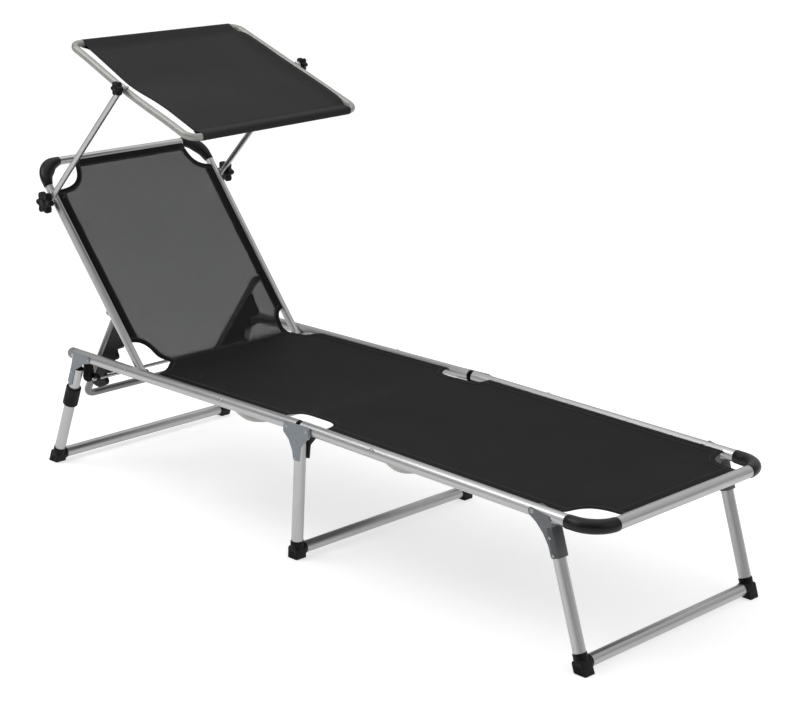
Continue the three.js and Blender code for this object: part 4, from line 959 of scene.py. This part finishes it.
# the right tube bows down a little under the pull of its clamp
for q in np.linspace(0, 1, 22)[1:-1]:
    x, y, z = P(-CAN_X, CAN_L - CAN_BEND - q * (CAN_L - 2 * CAN_BEND))
    low = 5.5 * math.sin(math.pi * q) ** 2
    pts.append(np.array([x, y + CAN_D[1] * low, z - CAN_D[0] * low]))
pts = np.array(pts)
for p in pts:
    low = racked(p[0], (p[1] - CAN_FRONT[0]) * CAN_D[0] + (p[2] - CAN_FRONT[1]) * CAN_D[1])
    p += np.array([0, CAN_D[1], -CAN_D[0]]) * low
n = len(pts)
segs = 40
t = np.roll(pts, -1, 0) - np.roll(pts, 1, 0)
t /= np.linalg.norm(t, axis=1)[:, None]
nz = np.array([0, -CAN_D[1], CAN_D[0]])
sd = np.cross(t, nz)
th = np.arange(segs) * 2 * math.pi / segs
v = pts[:, None, :] + CAN_R * (sd[:, None, :] * np.cos(th)[None, :, None] + nz[None, None, :] * np.sin(th)[None, :, None])
al = np.concatenate([[0], np.cumsum(np.linalg.norm(np.diff(pts, axis=0), axis=1))])
loc = np.stack([CAN_R * np.cos(th)[None] + 0 * al[:, None], CAN_R * np.sin(th)[None] + 0 * al[:, None], al[:, None] + 0 * th[None]], 2)
f = []
for i in range(n):
    for j in range(segs):
        i2, j2 = (i + 1) % n, (j + 1) % segs
        f.append((i * segs + j, i * segs + j2, i2 * segs + j2, i2 * segs + j))
b.put(v, f, loc)
piece("canopy_frame_look", b, FRAME_GREY, "canopy", ["canopy_frame"])

arm_len = math.hypot(ARM_TOP[0] - ARM_FOOT[0], ARM_TOP[1] - ARM_FOOT[1])
AD = ((ARM_TOP[0] - ARM_FOOT[0]) / arm_len, (ARM_TOP[1] - ARM_FOOT[1]) / arm_len)


def arm(a):
    return (ARM_FOOT[0] + AD[0] * a, ARM_FOOT[1] + AD[1] * a)


def knob(b, s, at, hub, x0, x1, R, dip, lobes, grip):
    """Clamp knob: lobed grip with rounded edges, a raised boss in front and a hub towards the arm."""
    N = lobes * 20
    depth = x1 - x0
    levels = [(0.0, 3.2), (0.5, 1.6), (1.6, 0.5), (3.0, 0.0), (depth - 4.2, 0.0), (depth - 2.2, 0.6), (depth - 0.8, 1.9), (depth - 0.2, 3.6), (depth - 0.9, 5.4), (depth - 1.6, 7.2)]
    v, loc, edge = [], [], []
    for a, inset in levels:
        for k in range(N):
            q = 2 * math.pi * k / N
            r = R - dip * (0.5 - 0.5 * math.cos(lobes * q)) ** 1.15
            r = max(r - inset * (R / 26) ** 0.5, 3.0)
            v.append((s * (x0 + a), at[0] + r * math.cos(q), at[1] + r * math.sin(q)))
            loc.append((r * math.cos(q), r * math.sin(q), a))
            edge.append(1.0 if 1 <= inset <= 2 else 0.0)
    f = ring_faces(len(levels), N) + [tuple(range(N))[::-1], tuple(range((len(levels) - 1) * N, len(levels) * N))]
    b.put(v, f, loc, edge)
    lathe(b, (s * (x1 - 2.2), *at), (s, 0, 0), [(0, -1), (R * 0.34, -1), (R * 0.34, 1.3), (R * 0.30, 1.9), (R * 0.18, 2.1), (0, 2.15)], 36)
    lathe(b, (s * 257.3, *at), (s, 0, 0), [(0, 0), (hub - 0.4, 0), (hub, 0.4), (hub + 0.6, x0 - 257.3 - 0.2), (hub + 1.2, x0 - 257.3 + 1), (0, x0 - 257.3 + 1)], 32)
    return b


for side, s in SIDES:
    b = Build()
    sweep(b, [(s * ARM_X, *arm(5)), (s * ARM_X, *arm(arm_len / 2)), (s * ARM_X, *arm(arm_len - 5))], ARM_R, 36, chamfer=0.5)
    for p, r in ((arm(0), 8.4), (arm(arm_len), 8.0)):
        plate_x(b, disc(p, r, 40), s * 246.3, s * 257, 1.6, 4)
    piece(f"canopy_arm_look_{side}", b, ALU, "canopy_arms", [f"canopy_arm_{side}"])
    for where, p, to, x0, x1, R, dip, fac in (("lower", arm(0), 238, 258.4, 275, 26, 8.2, 6), ("upper", arm(arm_len), 236, 258.4, 272.5, 16.2, 4.4, 4)):
        b = Build()
        knob(b, s, p, 6.4, x0, x1, R, dip, 6, fac)
        piece(f"knob_{where}_look_{side}", b, BLACK, f"knob_{where}_{side}", [f"knob_{where}_{side}"])
        b = Build()
        sweep(b, [(s * to, *p), (s * (x0 + 1), *p)], 3, 20, chamfer=0.4)
        piece(f"knob_{where}_screw_{side}", b, RIVET, f"knob_{where}_{side}")

# ---------------------------------------------------------------- fabric of seat and backrest
# One strip of coated-yarn mesh from the foot end over the fold to the top of the backrest. v runs along it from the fold.
SEAT_TILT = math.atan(RAIL_DROP)


def seat_point(y, n=0.0):
    sg = 1 if y >= 0 else -1
    z = rail_z(y) + (SEAT_ABOVE + n) / math.cos(SEAT_TILT)
    if abs(y) < FOLD_Y:
        z = RAIL_Z + SEAT_ABOVE + n + 0.0 * sg
    return np.array([y, z])


HINGE_R = 30.0
bl0 = np.array(back(0, BACK_ABOVE))
sl0 = seat_point(500)
sd2 = unit(seat_point(520) - seat_point(500))
# where the two planes meet
A = np.array([sd2, [-BD[0], -BD[1]]]).T
kk = np.linalg.solve(A, bl0 - sl0)
meet = sl0 + sd2 * kk[0]
turn = BACK_ANGLE + SEAT_TILT
cutback = HINGE_R * math.tan(turn / 2)
arc_from, arc_to = meet - sd2 * cutback, meet + np.array(BD) * cutback
arc_n = np.array([-sd2[1], sd2[0]])
arc_centre = arc_from + arc_n * HINGE_R
V_ARC = arc_from[0]  # the strip's length is measured by y as far as the bend
V_BACK = V_ARC + HINGE_R * turn
T_ARC = float((arc_to - np.array(BACK_PIVOT)) @ np.array(BD))


def v_of_t(t):
    return V_BACK + (t - T_ARC)


def strip(v):
    """Point (y, z) and upward normal of the strip's middle line at v."""
    if v <= V_ARC:
        p = seat_point(v)
        sg = 0.0 if abs(v) < FOLD_Y else (1.0 if v > 0 else -1.0)
        return p, np.array([math.sin(SEAT_TILT) * sg, math.cos(SEAT_TILT)])
    if v < V_BACK:
        q = (v - V_ARC) / HINGE_R
        a = -math.pi / 2 - SEAT_TILT + q
        return arc_centre + HINGE_R * np.array([math.cos(a), math.sin(a)]), -np.array([math.cos(a), math.sin(a)])
    p = arc_to + np.array(BD) * (v - V_BACK)
    return p, np.array(BN)


def curve_through(points, n=10):
    """Dense points on a smooth curve through points, as an (m, 2) array."""
    return np.array(smooth_path([np.array([x, y, 0.0]) for x, y in points], n))[:, :2]


B = v_of_t
FOLD_NOTCH = [(203.5, 0), (203.5, 28), (207, 44), (216, 54), (230, 60), (243.2, 62.5)]
HINGE = {
    1: [(243.2, 476), (234, 484), (221, 489), (210, 498), (205, 512), (201, 528), (199, B(12)), (197, B(28)), (199, B(44)), (204, B(57)), (212, B(66)), (224.6, B(72))],
    -1: [(243.2, 476), (234, 485), (221, 490), (206, 499), (190, 511), (174, 527), (160, 540), (156, B(8)), (164, B(17)), (175, B(28)), (181, B(39)), (186, B(51)), (194, B(62)), (206, B(70.5)), (224.6, B(75.5))],
}
TOP_CORNER = {
    1: [(230.0, B(477)), (220, B(479.5)), (208, B(483)), (196, B(490)), (186, B(501)), (180, B(516)), (177, B(530)), (175, B(546.2))],
    -1: [(230.0, B(477)), (219, B(477.5)), (204, B(478.5)), (186, B(482)), (169, B(490)), (156, B(504)), (148.5, B(523)), (145, B(546.2))],
}
FOOT_CORNER = [(243.2, 684), (234, 688.5), (222, 691), (210, 694), (199, 699), (188, 708), (180, 722), (175, 742), (173, 767.5)]


def side_x(s, v):
    """Half width of the strip on side s at v."""
    return float(np.interp(v, SIDE_V[s], SIDE_X[s]))


SIDE_V, SIDE_X, CUTS = {}, {}, {}
for s in (1, -1):
    foot = curve_through([(x, -a) for x, a in FOOT_CORNER[::-1]])
    notch_a = curve_through([(x, -a) for x, a in FOLD_NOTCH[::-1]])
    notch_b = curve_through(FOLD_NOTCH)
    hinge = curve_through(HINGE[s])
    top = curve_through(TOP_CORNER[s])
    CUTS[s] = dict(foot=foot, notch=np.vstack([notch_a, notch_b[1:]]), hinge=hinge, top=top)
    allp = np.vstack([foot, notch_a, notch_b[1:], hinge, top])
    v = np.maximum.accumulate(allp[:, 1] + np.arange(len(allp)) * 1e-6)
    SIDE_V[s], SIDE_X[s] = v, allp[:, 0]

V_FOOT, V_SPLIT_HEAD, V_TOP = -767.3, 462.0, B(545.9)


def bump01(x, a, b):
    q = np.clip((x - a) / (b - a), 0, 1)
    return q * q * (3 - 2 * q)


def sag(u, v):
    """How far the cloth hangs below its plane between the tubes."""
    w = 1 - min(1.0, abs(u) / 240.0) ** 2.2
    if v < V_ARC:
        along = bump01(v, V_FOOT, V_FOOT + 170) * (1 - 0.55 * bump01(v, 430, V_ARC))
        depth = 6.5 * along
        depth -= 2.0 * math.exp(-((v / 60.0) ** 2))
    else:
        depth = 2.9 + 4.6 * bump01(v, V_BACK, V_BACK + 140) - 7.5 * bump01(v, V_TOP - 190, V_TOP)
    # tension folds that run from the corners of the cut-outs, and faint ripples
    fold = 0.0
    for (cu, cv, du, dv, amp, wide, length) in CREASES:
        ru, rv = u - cu, v - cv
        along = ru * du + rv * dv
        across = -ru * dv + rv * du
        if 0 < along < length:
            q = along / length
            fold += amp * math.sin(math.pi * q) ** 0.8 * (1 - q * 0.5) * math.exp(-((across / wide) ** 2))
    ripple = 0.35 * math.sin(u / 41.0 + 0.7) * math.sin(v / 87.0 + u / 190.0) * w
    return depth * w - fold + ripple


def direction(a):
    return math.cos(math.radians(a)), math.sin(math.radians(a))


CREASES = []
for cu, cv, ang, amp, wide, length in (
    (176, V_TOP - 40, -97, 1.5, 5.0, 165),
    (-150, V_TOP - 38, -72, 1.0, 7.0, 150),
    (-188, B(60), 62, 0.9, 10.0, 170),
    (200, B(52), 112, 0.9, 10.0, 150),
    (-186, -712, 52, 0.5, 14.0, 150),
    (186, -712, 128, 0.5, 14.0, 150),
):
    CREASES.append((cu, cv, *direction(ang), amp, wide, length))


def cloth_point(u, v, h=0.0):
    """Place in mm of the point u across and v along the strip, h above its middle surface."""
    p, n = strip(v)
    k = h - sag(u, v)
    return np.array([u, p[0] + n[0] * k, p[1] + n[1] * k])


def openness(v):
    """Yarn-gap limit for the weave: the same gaps all along, as the cut is one cloth."""
    return 0.646


def rows_between(v0, v1, keys, step=7.0, fine=1.6):
    vs = list(np.arange(v0, v1, step)) + [v1]
    for a, b2 in keys:
        vs += list(np.arange(max(a, v0), min(b2, v1), fine))
    vs = sorted(set(round(x, 3) for x in vs if v0 <= x <= v1) | {round(v0, 3), round(v1, 3)})
    out = [vs[0]]
    for x in vs[1:]:
        if x - out[-1] >= fine * 0.55 or x == vs[-1]:
            out.append(x)
    return out


THICK = 0.30
KEYS = [(V_FOOT, -680), (-66, 66), (470, B(80)), (B(474), V_TOP)]
COLS = 56
COL_Q = 0.5 - 0.5 * np.cos(np.linspace(0, math.pi, COLS + 1))
COL_Q = 0.55 * COL_Q + 0.45 * np.linspace(0, 1, COLS + 1)


def cloth_object(name, verts, faces, cloth, mat, smooth=True):
    me = bpy.data.meshes.new(name)
    co = (np.asarray(verts) - np.array([0, CENTRE_Y, 0])) / 1000
    me.from_pydata(co.tolist(), [], faces)
    bm = bmesh.new()
    bm.from_mesh(me)
    bmesh.ops.recalc_face_normals(bm, faces=bm.faces)
    bm.to_mesh(me)
    bm.free()
    at = me.attributes.new("cloth", "FLOAT_VECTOR", "POINT")
    at.data.foreach_set("vector", np.asarray(cloth, np.float32).ravel())
    at = me.attributes.new("local", "FLOAT_VECTOR", "POINT")
    at.data.foreach_set("vector", np.asarray(co, np.float32).ravel())
    me.materials.append(mat)
    me.polygons.foreach_set("use_smooth", [smooth] * len(me.polygons))
    me.set_sharp_from_angle(angle=math.radians(50))
    ob = bpy.data.objects.new(name, me)
    bpy.context.scene.collection.objects.link(ob)
    return ob


def sheet_mesh(name, v0, v1, mat, point=cloth_point, half=side_x, keys=KEYS, opened=openness, thick=THICK, step=7.0):
    """Closed sheet of even thickness between the strip's two outlines."""
    vs = rows_between(v0, v1, keys, step)
    top, cl = [], []
    for v in vs:
        xr, xl = -half(-1, v), half(1, v)
        for q in COL_Q:
            u = xr + (xl - xr) * q
            top.append((u, v))
    verts = [point(u, v, thick / 2) for u, v in top] + [point(u, v, -thick / 2) for u, v in top]
    cl = [(u / 1000, v / 1000, opened(v)) for u, v in top] * 2
    C, R, K = COLS + 1, len(vs), len(top)
    faces = []
    for i in range(R - 1):
        for j in range(C - 1):
            a = i * C + j
            faces.append((a, a + 1, a + 1 + C, a + C))
            faces.append((K + a, K + a + C, K + a + 1 + C, K + a + 1))
        faces.append((i * C, i * C + C, K + i * C + C, K + i * C))
        faces.append((i * C + C - 1, K + i * C + C - 1, K + i * C + 2 * C - 1, i * C + 2 * C - 1))
    for j in range(C - 1):
        faces.append((j, K + j, K + j + 1, j + 1))
        e = (R - 1) * C + j
        faces.append((e, e + 1, K + e + 1, K + e))
    area = sum((half(1, (a + b2) / 2) + half(-1, (a + b2) / 2)) * (b2 - a) for a, b2 in zip(vs, vs[1:])) / 1e6
    return cloth_object(name, verts, faces, cl, mat), area


class Hem:
    """Folded hems and binding tapes on a strip, with their stitches."""

    def __init__(self, point=cloth_point):
        self.v, self.f, self.c, self.point = [], [], [], point
        self.sv, self.sf, self.sc = [], [], []

    def band(self, line, width, inward, thick=0.62, rows=(-1.6, -3.4), stitch=True):
        """line is an (m, 2) run of (u, v) along the cloth's edge; inward is +1 or -1, the side on which the cloth lies."""
        line = np.asarray(line, float)
        # even spacing along the line
        seg = np.linalg.norm(np.diff(line, axis=0), axis=1)
        s = np.concatenate([[0], np.cumsum(seg)])
        m = max(2, int(s[-1] / 4.0) + 1)
        q = np.linspace(0, s[-1], m)
        pts = np.stack([np.interp(q, s, line[:, 0]), np.interp(q, s, line[:, 1])], 1)
        t = np.gradient(pts, axis=0)
        t /= np.linalg.norm(t, axis=1)[:, None]
        n = np.stack([-t[:, 1], t[:, 0]], 1) * inward
        w, h = width, thick
        prof = [(-0.25, 0.0), (-0.1, h * 0.7), (0.6, h), (w * 0.5, h * 1.02), (w - 0.9, h), (w - 0.2, h * 0.8), (w, h * 0.3), (w, -h * 0.3), (w - 0.2, -h * 0.8), (w - 0.9, -h), (w * 0.5, -h * 1.02), (0.6, -h), (-0.1, -h * 0.7)]
        k0, K = len(self.v), len(prof)
        for i in range(m):
            for a, hh in prof:
                u, v = pts[i] + n[i] * a
                self.v.append(self.point(u, v, hh))
                self.c.append((u / 1000, v / 1000, 0))
        for i in range(m - 1):
            for j in range(K):
                a, b2 = k0 + i * K + j, k0 + i * K + (j + 1) % K
                self.f.append((a, b2, b2 + K, a + K))
        self.f.append(tuple(k0 + j for j in range(K))[::-1])
        self.f.append(tuple(k0 + (m - 1) * K + j for j in range(K)))
        if stitch:
            for r in rows:
                off = r if r > 0 else w + r
                self.stitches(pts + n * off, h + 0.12)

    def stitches(self, pts, h, length=3.3, gap=0.8, r=0.40):
        seg = np.linalg.norm(np.diff(pts, axis=0), axis=1)
        s = np.concatenate([[0], np.cumsum(seg)])
        a = 2.0
        while a + length < s[-1] - 2:
            row = []
            for q, rr, hh in ((0, 0.35, -0.16), (0.18, 0.95, 0.0), (0.82, 0.95, 0.0), (1, 0.35, -0.16)):
                at = a + q * length
                u, v = np.interp(at, s, pts[:, 0]), np.interp(at, s, pts[:, 1])
                u2, v2 = np.interp(at + 0.4, s, pts[:, 0]), np.interp(at + 0.4, s, pts[:, 1])
                tu, tv = u2 - u, v2 - v
                ln = math.hypot(tu, tv) or 1.0
                nu, nv = -tv / ln, tu / ln
                row.append((u, v, nu, nv, rr * r, hh))
            for sg in (1, -1):
                k = len(self.sv)
                for u, v, nu, nv, rr, hh in row:
                    for x, y in ((1, 0), (0, 1), (-1, 0), (0, -1)):
                        self.sv.append(self.point(u + nu * x * rr, v + nv * x * rr, sg * (h + hh) + y * rr))
                for i in range(3):
                    for j in range(4):
                        p, q2 = k + i * 4 + j, k + i * 4 + (j + 1) % 4
                        self.sf.append((p, q2, q2 + 4, p + 4))
                self.sf.append((k + 3, k + 2, k + 1, k))
                self.sf.append((k + 12, k + 13, k + 14, k + 15))
            a += length + gap

    def make(self, name, mat=None):
        return (
            cloth_object(name + "_hem", self.v, self.f, self.c, mat or HEM),
            cloth_object(name + "_stitches", self.sv, self.sf, [(0, 0, 0)] * len(self.sv), THREAD),
        )


def clip_line(line, v0, v1):
    line = np.asarray(line, float)
    keep = (line[:, 1] >= v0 - 1e-6) & (line[:, 1] <= v1 + 1e-6)
    return line[keep]


HEM_W, TAPE_W = 23.0, 13.0


def side_line(s, v0, v1):
    return [(s * side_x(s, v), v) for v in np.arange(v0, v1 + 0.1, 8.0)] + [(s * side_x(s, v1), v1)]


def cut_line(s, key, v0=-1e9, v1=1e9):
    line = CUTS[s][key].copy()
    line[:, 0] *= s
    return clip_line(line, v0, v1)


seat_foot, area_foot = sheet_mesh("seat_fabric_foot", V_FOOT, 0, MESH)
seat_head, area_head = sheet_mesh("seat_fabric_head", 0, V_SPLIT_HEAD, MESH)
back_cloth, area_back = sheet_mesh("backrest_fabric_look", V_SPLIT_HEAD, V_TOP, MESH)

# a point lies inside the strip to the left of a line that runs up its right (-X) side, so the sign differs by side
hf, hh, hb = Hem(), Hem(), Hem()
for s in (1, -1):
    ins = 1 if s > 0 else -1
    hf.band(side_line(s, -684, -62.5), HEM_W, ins)
    hf.band(cut_line(s, "foot"), TAPE_W, ins, 0.72)
    hf.band(cut_line(s, "notch", -200, 0), TAPE_W, ins, 0.72)
    hh.band(cut_line(s, "notch", 0, 200), TAPE_W, ins, 0.72)
    hh.band(side_line(s, 62.5, V_SPLIT_HEAD), HEM_W, ins)
    hb.band(side_line(s, V_SPLIT_HEAD, 477), HEM_W, ins)
    hb.band(cut_line(s, "hinge"), TAPE_W, ins, 0.72)
    hb.band(side_line(s, B(74), B(478)), HEM_W, ins)
    hb.band(cut_line(s, "top"), TAPE_W, ins, 0.72)
hf.band([(x, V_FOOT) for x in np.linspace(-173, 173, 60)], 22.0, 1)
hb.band([(x, V_TOP) for x in np.linspace(-145, 175, 60)], 18.5, -1)
hem_f, st_f = hf.make("seat_fabric_foot")
hem_h, st_h = hh.make("seat_fabric_head")
hem_b, st_b = hb.make("backrest_fabric")

for obs, end, body in (((seat_foot, hem_f, st_f), -54, "foot_section"), ((seat_head, hem_h, st_h), 54, "head_section")):
    for ob in obs:
        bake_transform(ob)
for ob in (back_cloth, hem_b, st_b):
    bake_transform(ob)
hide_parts("foot_seat_fabric")
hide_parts("head_seat_fabric")
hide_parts("backrest_fabric")

# ---------------------------------------------------------------- canopy fabric
# v runs over the cloth from the seam under the front bar, round the bar, over the sheet, round the rear bar to its seam.
SEAM = 27.0
WRAP_R = CAN_R + 0.75


def pocket_profile():
    """(a, n) of the cloth round the front bar, from its lower seam to the upper one, with the distance along it."""
    tang = math.acos(WRAP_R / math.hypot(SEAM, 1.0))
    pts = [(SEAM, -0.7), (SEAM * 0.72, -2.6)]
    for q in np.linspace(-tang, -(2 * math.pi - tang), 26):
        pts.append((WRAP_R * math.cos(q), WRAP_R * math.sin(q)))
    pts += [(SEAM * 0.72, 2.5), (SEAM, 0.45)]
    pts = np.array(pts)
    return pts


POCKET = pocket_profile()
front = POCKET
rear = np.stack([CAN_L - POCKET[::-1, 0], POCKET[::-1, 1]], 1)
mid = np.array([(a, 0.35) for a in np.linspace(SEAM, CAN_L - SEAM, 60)[1:-1]])
PATH = np.vstack([front, mid, rear])
PATH_S = np.concatenate([[0], np.cumsum(np.linalg.norm(np.diff(PATH, axis=0), axis=1))])
C_TOTAL = float(PATH_S[-1])
V_A, V_Z = float(PATH_S[len(front) - 1]), float(PATH_S[len(front) + len(mid)])
DROOP_AT = ([-40, 60, 120, 161, 190, 212, 236, 258, 276, 300, 343, 390, 425, CAN_L + 40], [0, 0, 0.6, 3.0, 6.8, 9.8, 12.2, 13.2, 12.7, 10.6, 6.8, 2.4, 0.3, 0])
_a = np.arange(-60, CAN_L + 60, 2.0)
_n = np.interp(_a, *DROOP_AT)
for _ in range(3):
    _n = np.convolve(np.pad(_n, 6, mode="edge"), np.ones(13) / 13, mode="valid")
DROOP = (_a, _n)


def can_half(s, v):
    a = float(np.interp(v, PATH_S, PATH[:, 0]))
    if s > 0:
        return float(np.interp(a, [-9, 10, 30, 60, 110, CAN_L - 110, CAN_L - 60, CAN_L - 30, CAN_L - 10, CAN_L + 9], [214, 216, 224.5, 229.5, 231, 231, 229.5, 224.5, 216, 214]))
    return float(np.interp(a, [-9, 20, 60, 120, CAN_L / 2, CAN_L - 120, CAN_L - 60, CAN_L - 20, CAN_L + 9], [207.5, 207, 206, 204.5, 203, 203.5, 205.5, 206.5, 207]))


def canopy_point(u, v, h=0.0):
    a = float(np.interp(v, PATH_S, PATH[:, 0]))
    n = float(np.interp(v, PATH_S, PATH[:, 1]))
    a2, n2 = float(np.interp(v + 0.5, PATH_S, PATH[:, 0])), float(np.interp(v + 0.5, PATH_S, PATH[:, 1]))
    a1, n1 = float(np.interp(v - 0.5, PATH_S, PATH[:, 0])), float(np.interp(v - 0.5, PATH_S, PATH[:, 1]))
    da, dn = a2 - a1, n2 - n1
    ln = math.hypot(da, dn) or 1.0
    # the cloth lies over the bar, so its outer side points away from it
    ha, hn = -dn / ln, da / ln
    a, n = a + ha * h, n + hn * h
    # round the bent corners of the frame
    ends = CAN_X - CAN_BEND
    over = abs(u) - ends
    if over > 0:
        over = min(over, CAN_BEND * 0.8)
        shift = CAN_BEND - math.sqrt(CAN_BEND ** 2 - over ** 2)
        near = max(0.0, 1 - max(a, 0) / 70.0)
        far = max(0.0, 1 - max(CAN_L - a, 0) / 70.0)
        stretch = 1 / math.sqrt(1 - (over / CAN_BEND) ** 2)
        if a < 12:
            a = a * (1 + (stretch - 1) * 0.8)
        if a > CAN_L - 12:
            a = CAN_L - (CAN_L - a) * (1 + (stretch - 1) * 0.8)
        a += shift * near ** 1.2 - shift * far ** 1.2
    # slack towards the right edge, and slight fullness in the middle
    q = 0.5 - 0.5 * u / 215.0
    droop = float(np.interp(a, DROOP[0], DROOP[1])) * (0.12 + 0.88 * max(0.0, min(1.0, q)) ** 1.3)
    belly = 5.0 * max(0.0, math.sin(math.pi * min(max((a - 10) / (CAN_L - 20), 0), 1))) * (1 - (u / 225.0) ** 2)
    ripple = 0.25 * math.sin(u / 33.0 + a / 120.0) * math.sin(math.pi * min(max(a / CAN_L, 0), 1)) ** 2
    n -= droop + max(belly, 0) + ripple + racked(u, a)
    # the left edge lies on top of its tube
    k, w = max(0.0, min(1.0, (u - 196) / 29)), max(0.0, min(1.0, (min(a, CAN_L - a) - 12) / 40))
    n += 6.3 * k * k * (3 - 2 * k) * w * w * (3 - 2 * w)
    y, z = can(a, n)
    return np.array([u, y, z])


def can_open(v):
    return 0.10 if V_A + 2 < v < V_Z - 2 else 0.0


canopy_sheet, area_can = sheet_mesh("canopy_fabric_look", 0.0, C_TOTAL, CANOPY_CLOTH, canopy_point, can_half, [(0, V_A + 4), (V_Z - 4, C_TOTAL)], can_open, 0.5, 7.0)
hc = Hem(canopy_point)
for s in (1, -1):
    ins = 1 if s > 0 else -1
    hc.band([(s * can_half(s, v), v) for v in np.arange(V_A + 1.0, V_Z - 1.0, 8.0)], 13.0, ins, 0.7, rows=(-2.6,))
# seams of the two pockets
for v, w in ((V_A, 7.0), (V_Z - 7.0, 7.0)):
    hc.band([(x, v) for x in np.linspace(-203, 216, 70)], w, 1, 0.42, rows=(2.0,))
hem_c, st_c = hc.make("canopy_fabric", CANOPY_HEM)
for ob in (canopy_sheet, hem_c, st_c):
    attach(ob, "canopy")
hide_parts("canopy_fabric")

# ---------------------------------------------------------------- floor, light and camera
me = bpy.data.meshes.new("floor")
R = 40.0
me.from_pydata([(-R, -R, 0), (R, -R, 0), (R, R, 0), (-R, R, 0)], [], [(0, 1, 2, 3)])
floor = bpy.data.objects.new("floor", me)
bpy.context.scene.collection.objects.link(floor)
g = Graph("pale_floor")
co = g.node("ShaderNodeTexCoord").outputs["Object"]
g.set(Base_Color=g.mix(g.noise(co, 1.5, 3.0), rgb(0.53), rgb(0.55)), Roughness=0.9, Specular_IOR_Level=0.1, Emission_Color=(1, 1, 1, 1), Emission_Strength=0.635)
me.materials.append(g.mat)

world = bpy.data.worlds.new("studio")
bpy.context.scene.world = world
world.use_nodes = True
wt = world.node_tree
wt.nodes.clear()
wo = wt.nodes.new("ShaderNodeOutputWorld")
bg_seen, bg_light = wt.nodes.new("ShaderNodeBackground"), wt.nodes.new("ShaderNodeBackground")
mixw, lp = wt.nodes.new("ShaderNodeMixShader"), wt.nodes.new("ShaderNodeLightPath")
tc, sep, ramp = wt.nodes.new("ShaderNodeTexCoord"), wt.nodes.new("ShaderNodeSeparateXYZ"), wt.nodes.new("ShaderNodeValToRGB")
wt.links.new(tc.outputs["Generated"], sep.inputs[0])
wt.links.new(sep.outputs[2], ramp.inputs[0])
ramp.color_ramp.elements[0].position, ramp.color_ramp.elements[0].color = 0.0, (0.55, 0.55, 0.56, 1)
ramp.color_ramp.elements[1].position, ramp.color_ramp.elements[1].color = 0.8, (1.0, 1.0, 1.0, 1)
shade = wt.nodes.new("ShaderNodeValToRGB")
half_y = wt.nodes.new("ShaderNodeMapRange")
half_y.inputs["From Min"].default_value, half_y.inputs["From Max"].default_value = -1.0, 1.0
wt.links.new(sep.outputs[1], half_y.inputs["Value"])
wt.links.new(half_y.outputs[0], shade.inputs[0])
cr = shade.color_ramp
cr.elements[0].position, cr.elements[0].color = 0.05, (0.66, 0.66, 0.67, 1)
cr.elements[1].position, cr.elements[1].color = 0.93, (0.42, 0.43, 0.43, 1)
for where, value in ((0.32, 0.95), (0.72, 1.1), (0.82, 0.92)):
    cr.elements.new(where).color = (value, value, value, 1)
both = wt.nodes.new("ShaderNodeVectorMath")
both.operation = "MULTIPLY"
wt.links.new(ramp.outputs[0], both.inputs[0])
wt.links.new(shade.outputs[0], both.inputs[1])
# the unlit end of the studio
unlit, unlit_ramp, all_three = wt.nodes.new("ShaderNodeVectorMath"), wt.nodes.new("ShaderNodeValToRGB"), wt.nodes.new("ShaderNodeVectorMath")
unlit.operation, all_three.operation = "DOT_PRODUCT", "MULTIPLY"
unlit.inputs[1].default_value = (-0.878, -0.384, 0.316)
wt.links.new(tc.outputs["Generated"], unlit.inputs[0])
wt.links.new(unlit.outputs["Value"], unlit_ramp.inputs[0])
ur = unlit_ramp.color_ramp
ur.elements[0].position, ur.elements[0].color = 0.64, (1, 1, 1, 1)
ur.elements[1].position, ur.elements[1].color = 0.95, (0.06, 0.06, 0.065, 1)
ur.elements.new(0.83).color = (0.42, 0.42, 0.42, 1)
wt.links.new(both.outputs[0], all_three.inputs[0])
wt.links.new(unlit_ramp.outputs[0], all_three.inputs[1])
wt.links.new(all_three.outputs[0], bg_light.inputs[0])
bg_light.inputs[1].default_value = 0.95
bg_seen.inputs[0].default_value = (1, 1, 1, 1)
bg_seen.inputs[1].default_value = 1.0
wt.links.new(lp.outputs["Is Camera Ray"], mixw.inputs[0])
wt.links.new(bg_light.outputs[0], mixw.inputs[1])
wt.links.new(bg_seen.outputs[0], mixw.inputs[2])
wt.links.new(mixw.outputs[0], wo.inputs[0])


def area_light(name, at, target, size, power):
    li = bpy.data.lights.new(name, "AREA")
    li.shape, li.size, li.size_y, li.energy = "RECTANGLE", size[0], size[1], power
    ob = bpy.data.objects.new(name, li)
    bpy.context.scene.collection.objects.link(ob)
    ob.location = at
    ob.rotation_mode = "QUATERNION"
    ob.rotation_quaternion = (Vector(target) - Vector(at)).to_track_quat("-Z", "Y")
    return ob


area_light("key", (-1.6, 1.2, 3.1), (-0.1, -0.3, 0.3), (1.5, 1.5), 34)
area_light("front", (0.5, -3.9, 2.6), (0, 0, 0.3), (3.0, 1.6), 16)
area_light("side", (-3.3, 0.55, 2.0), (-0.24, 0.75, 0.6), (0.7, 2.0), 10)
area_light("top", (0.6, 0.4, 4.0), (0, 0, 0.2), (3.4, 3.4), 24)

cam_data = bpy.data.cameras.new("camera")
cam_data.sensor_fit, cam_data.sensor_width, cam_data.lens = "HORIZONTAL", 36.0, 91.07
cam_data.clip_start, cam_data.clip_end = 0.05, 200
camera = bpy.data.objects.new("camera", cam_data)
bpy.context.scene.collection.objects.link(camera)
right, up, bck = Vector((0.7082, -0.70598, 0.00647)), Vector((0.19353, 0.20294, 0.95988)), Vector((-0.67897, -0.67853, 0.28035))
camera.matrix_world = Matrix.Translation((-2.8576, -2.940263, 1.5843)) @ Matrix((right, up, bck)).transposed().to_4x4()
bpy.context.scene.camera = camera
bpy.context.scene.view_settings.view_transform = "Standard"
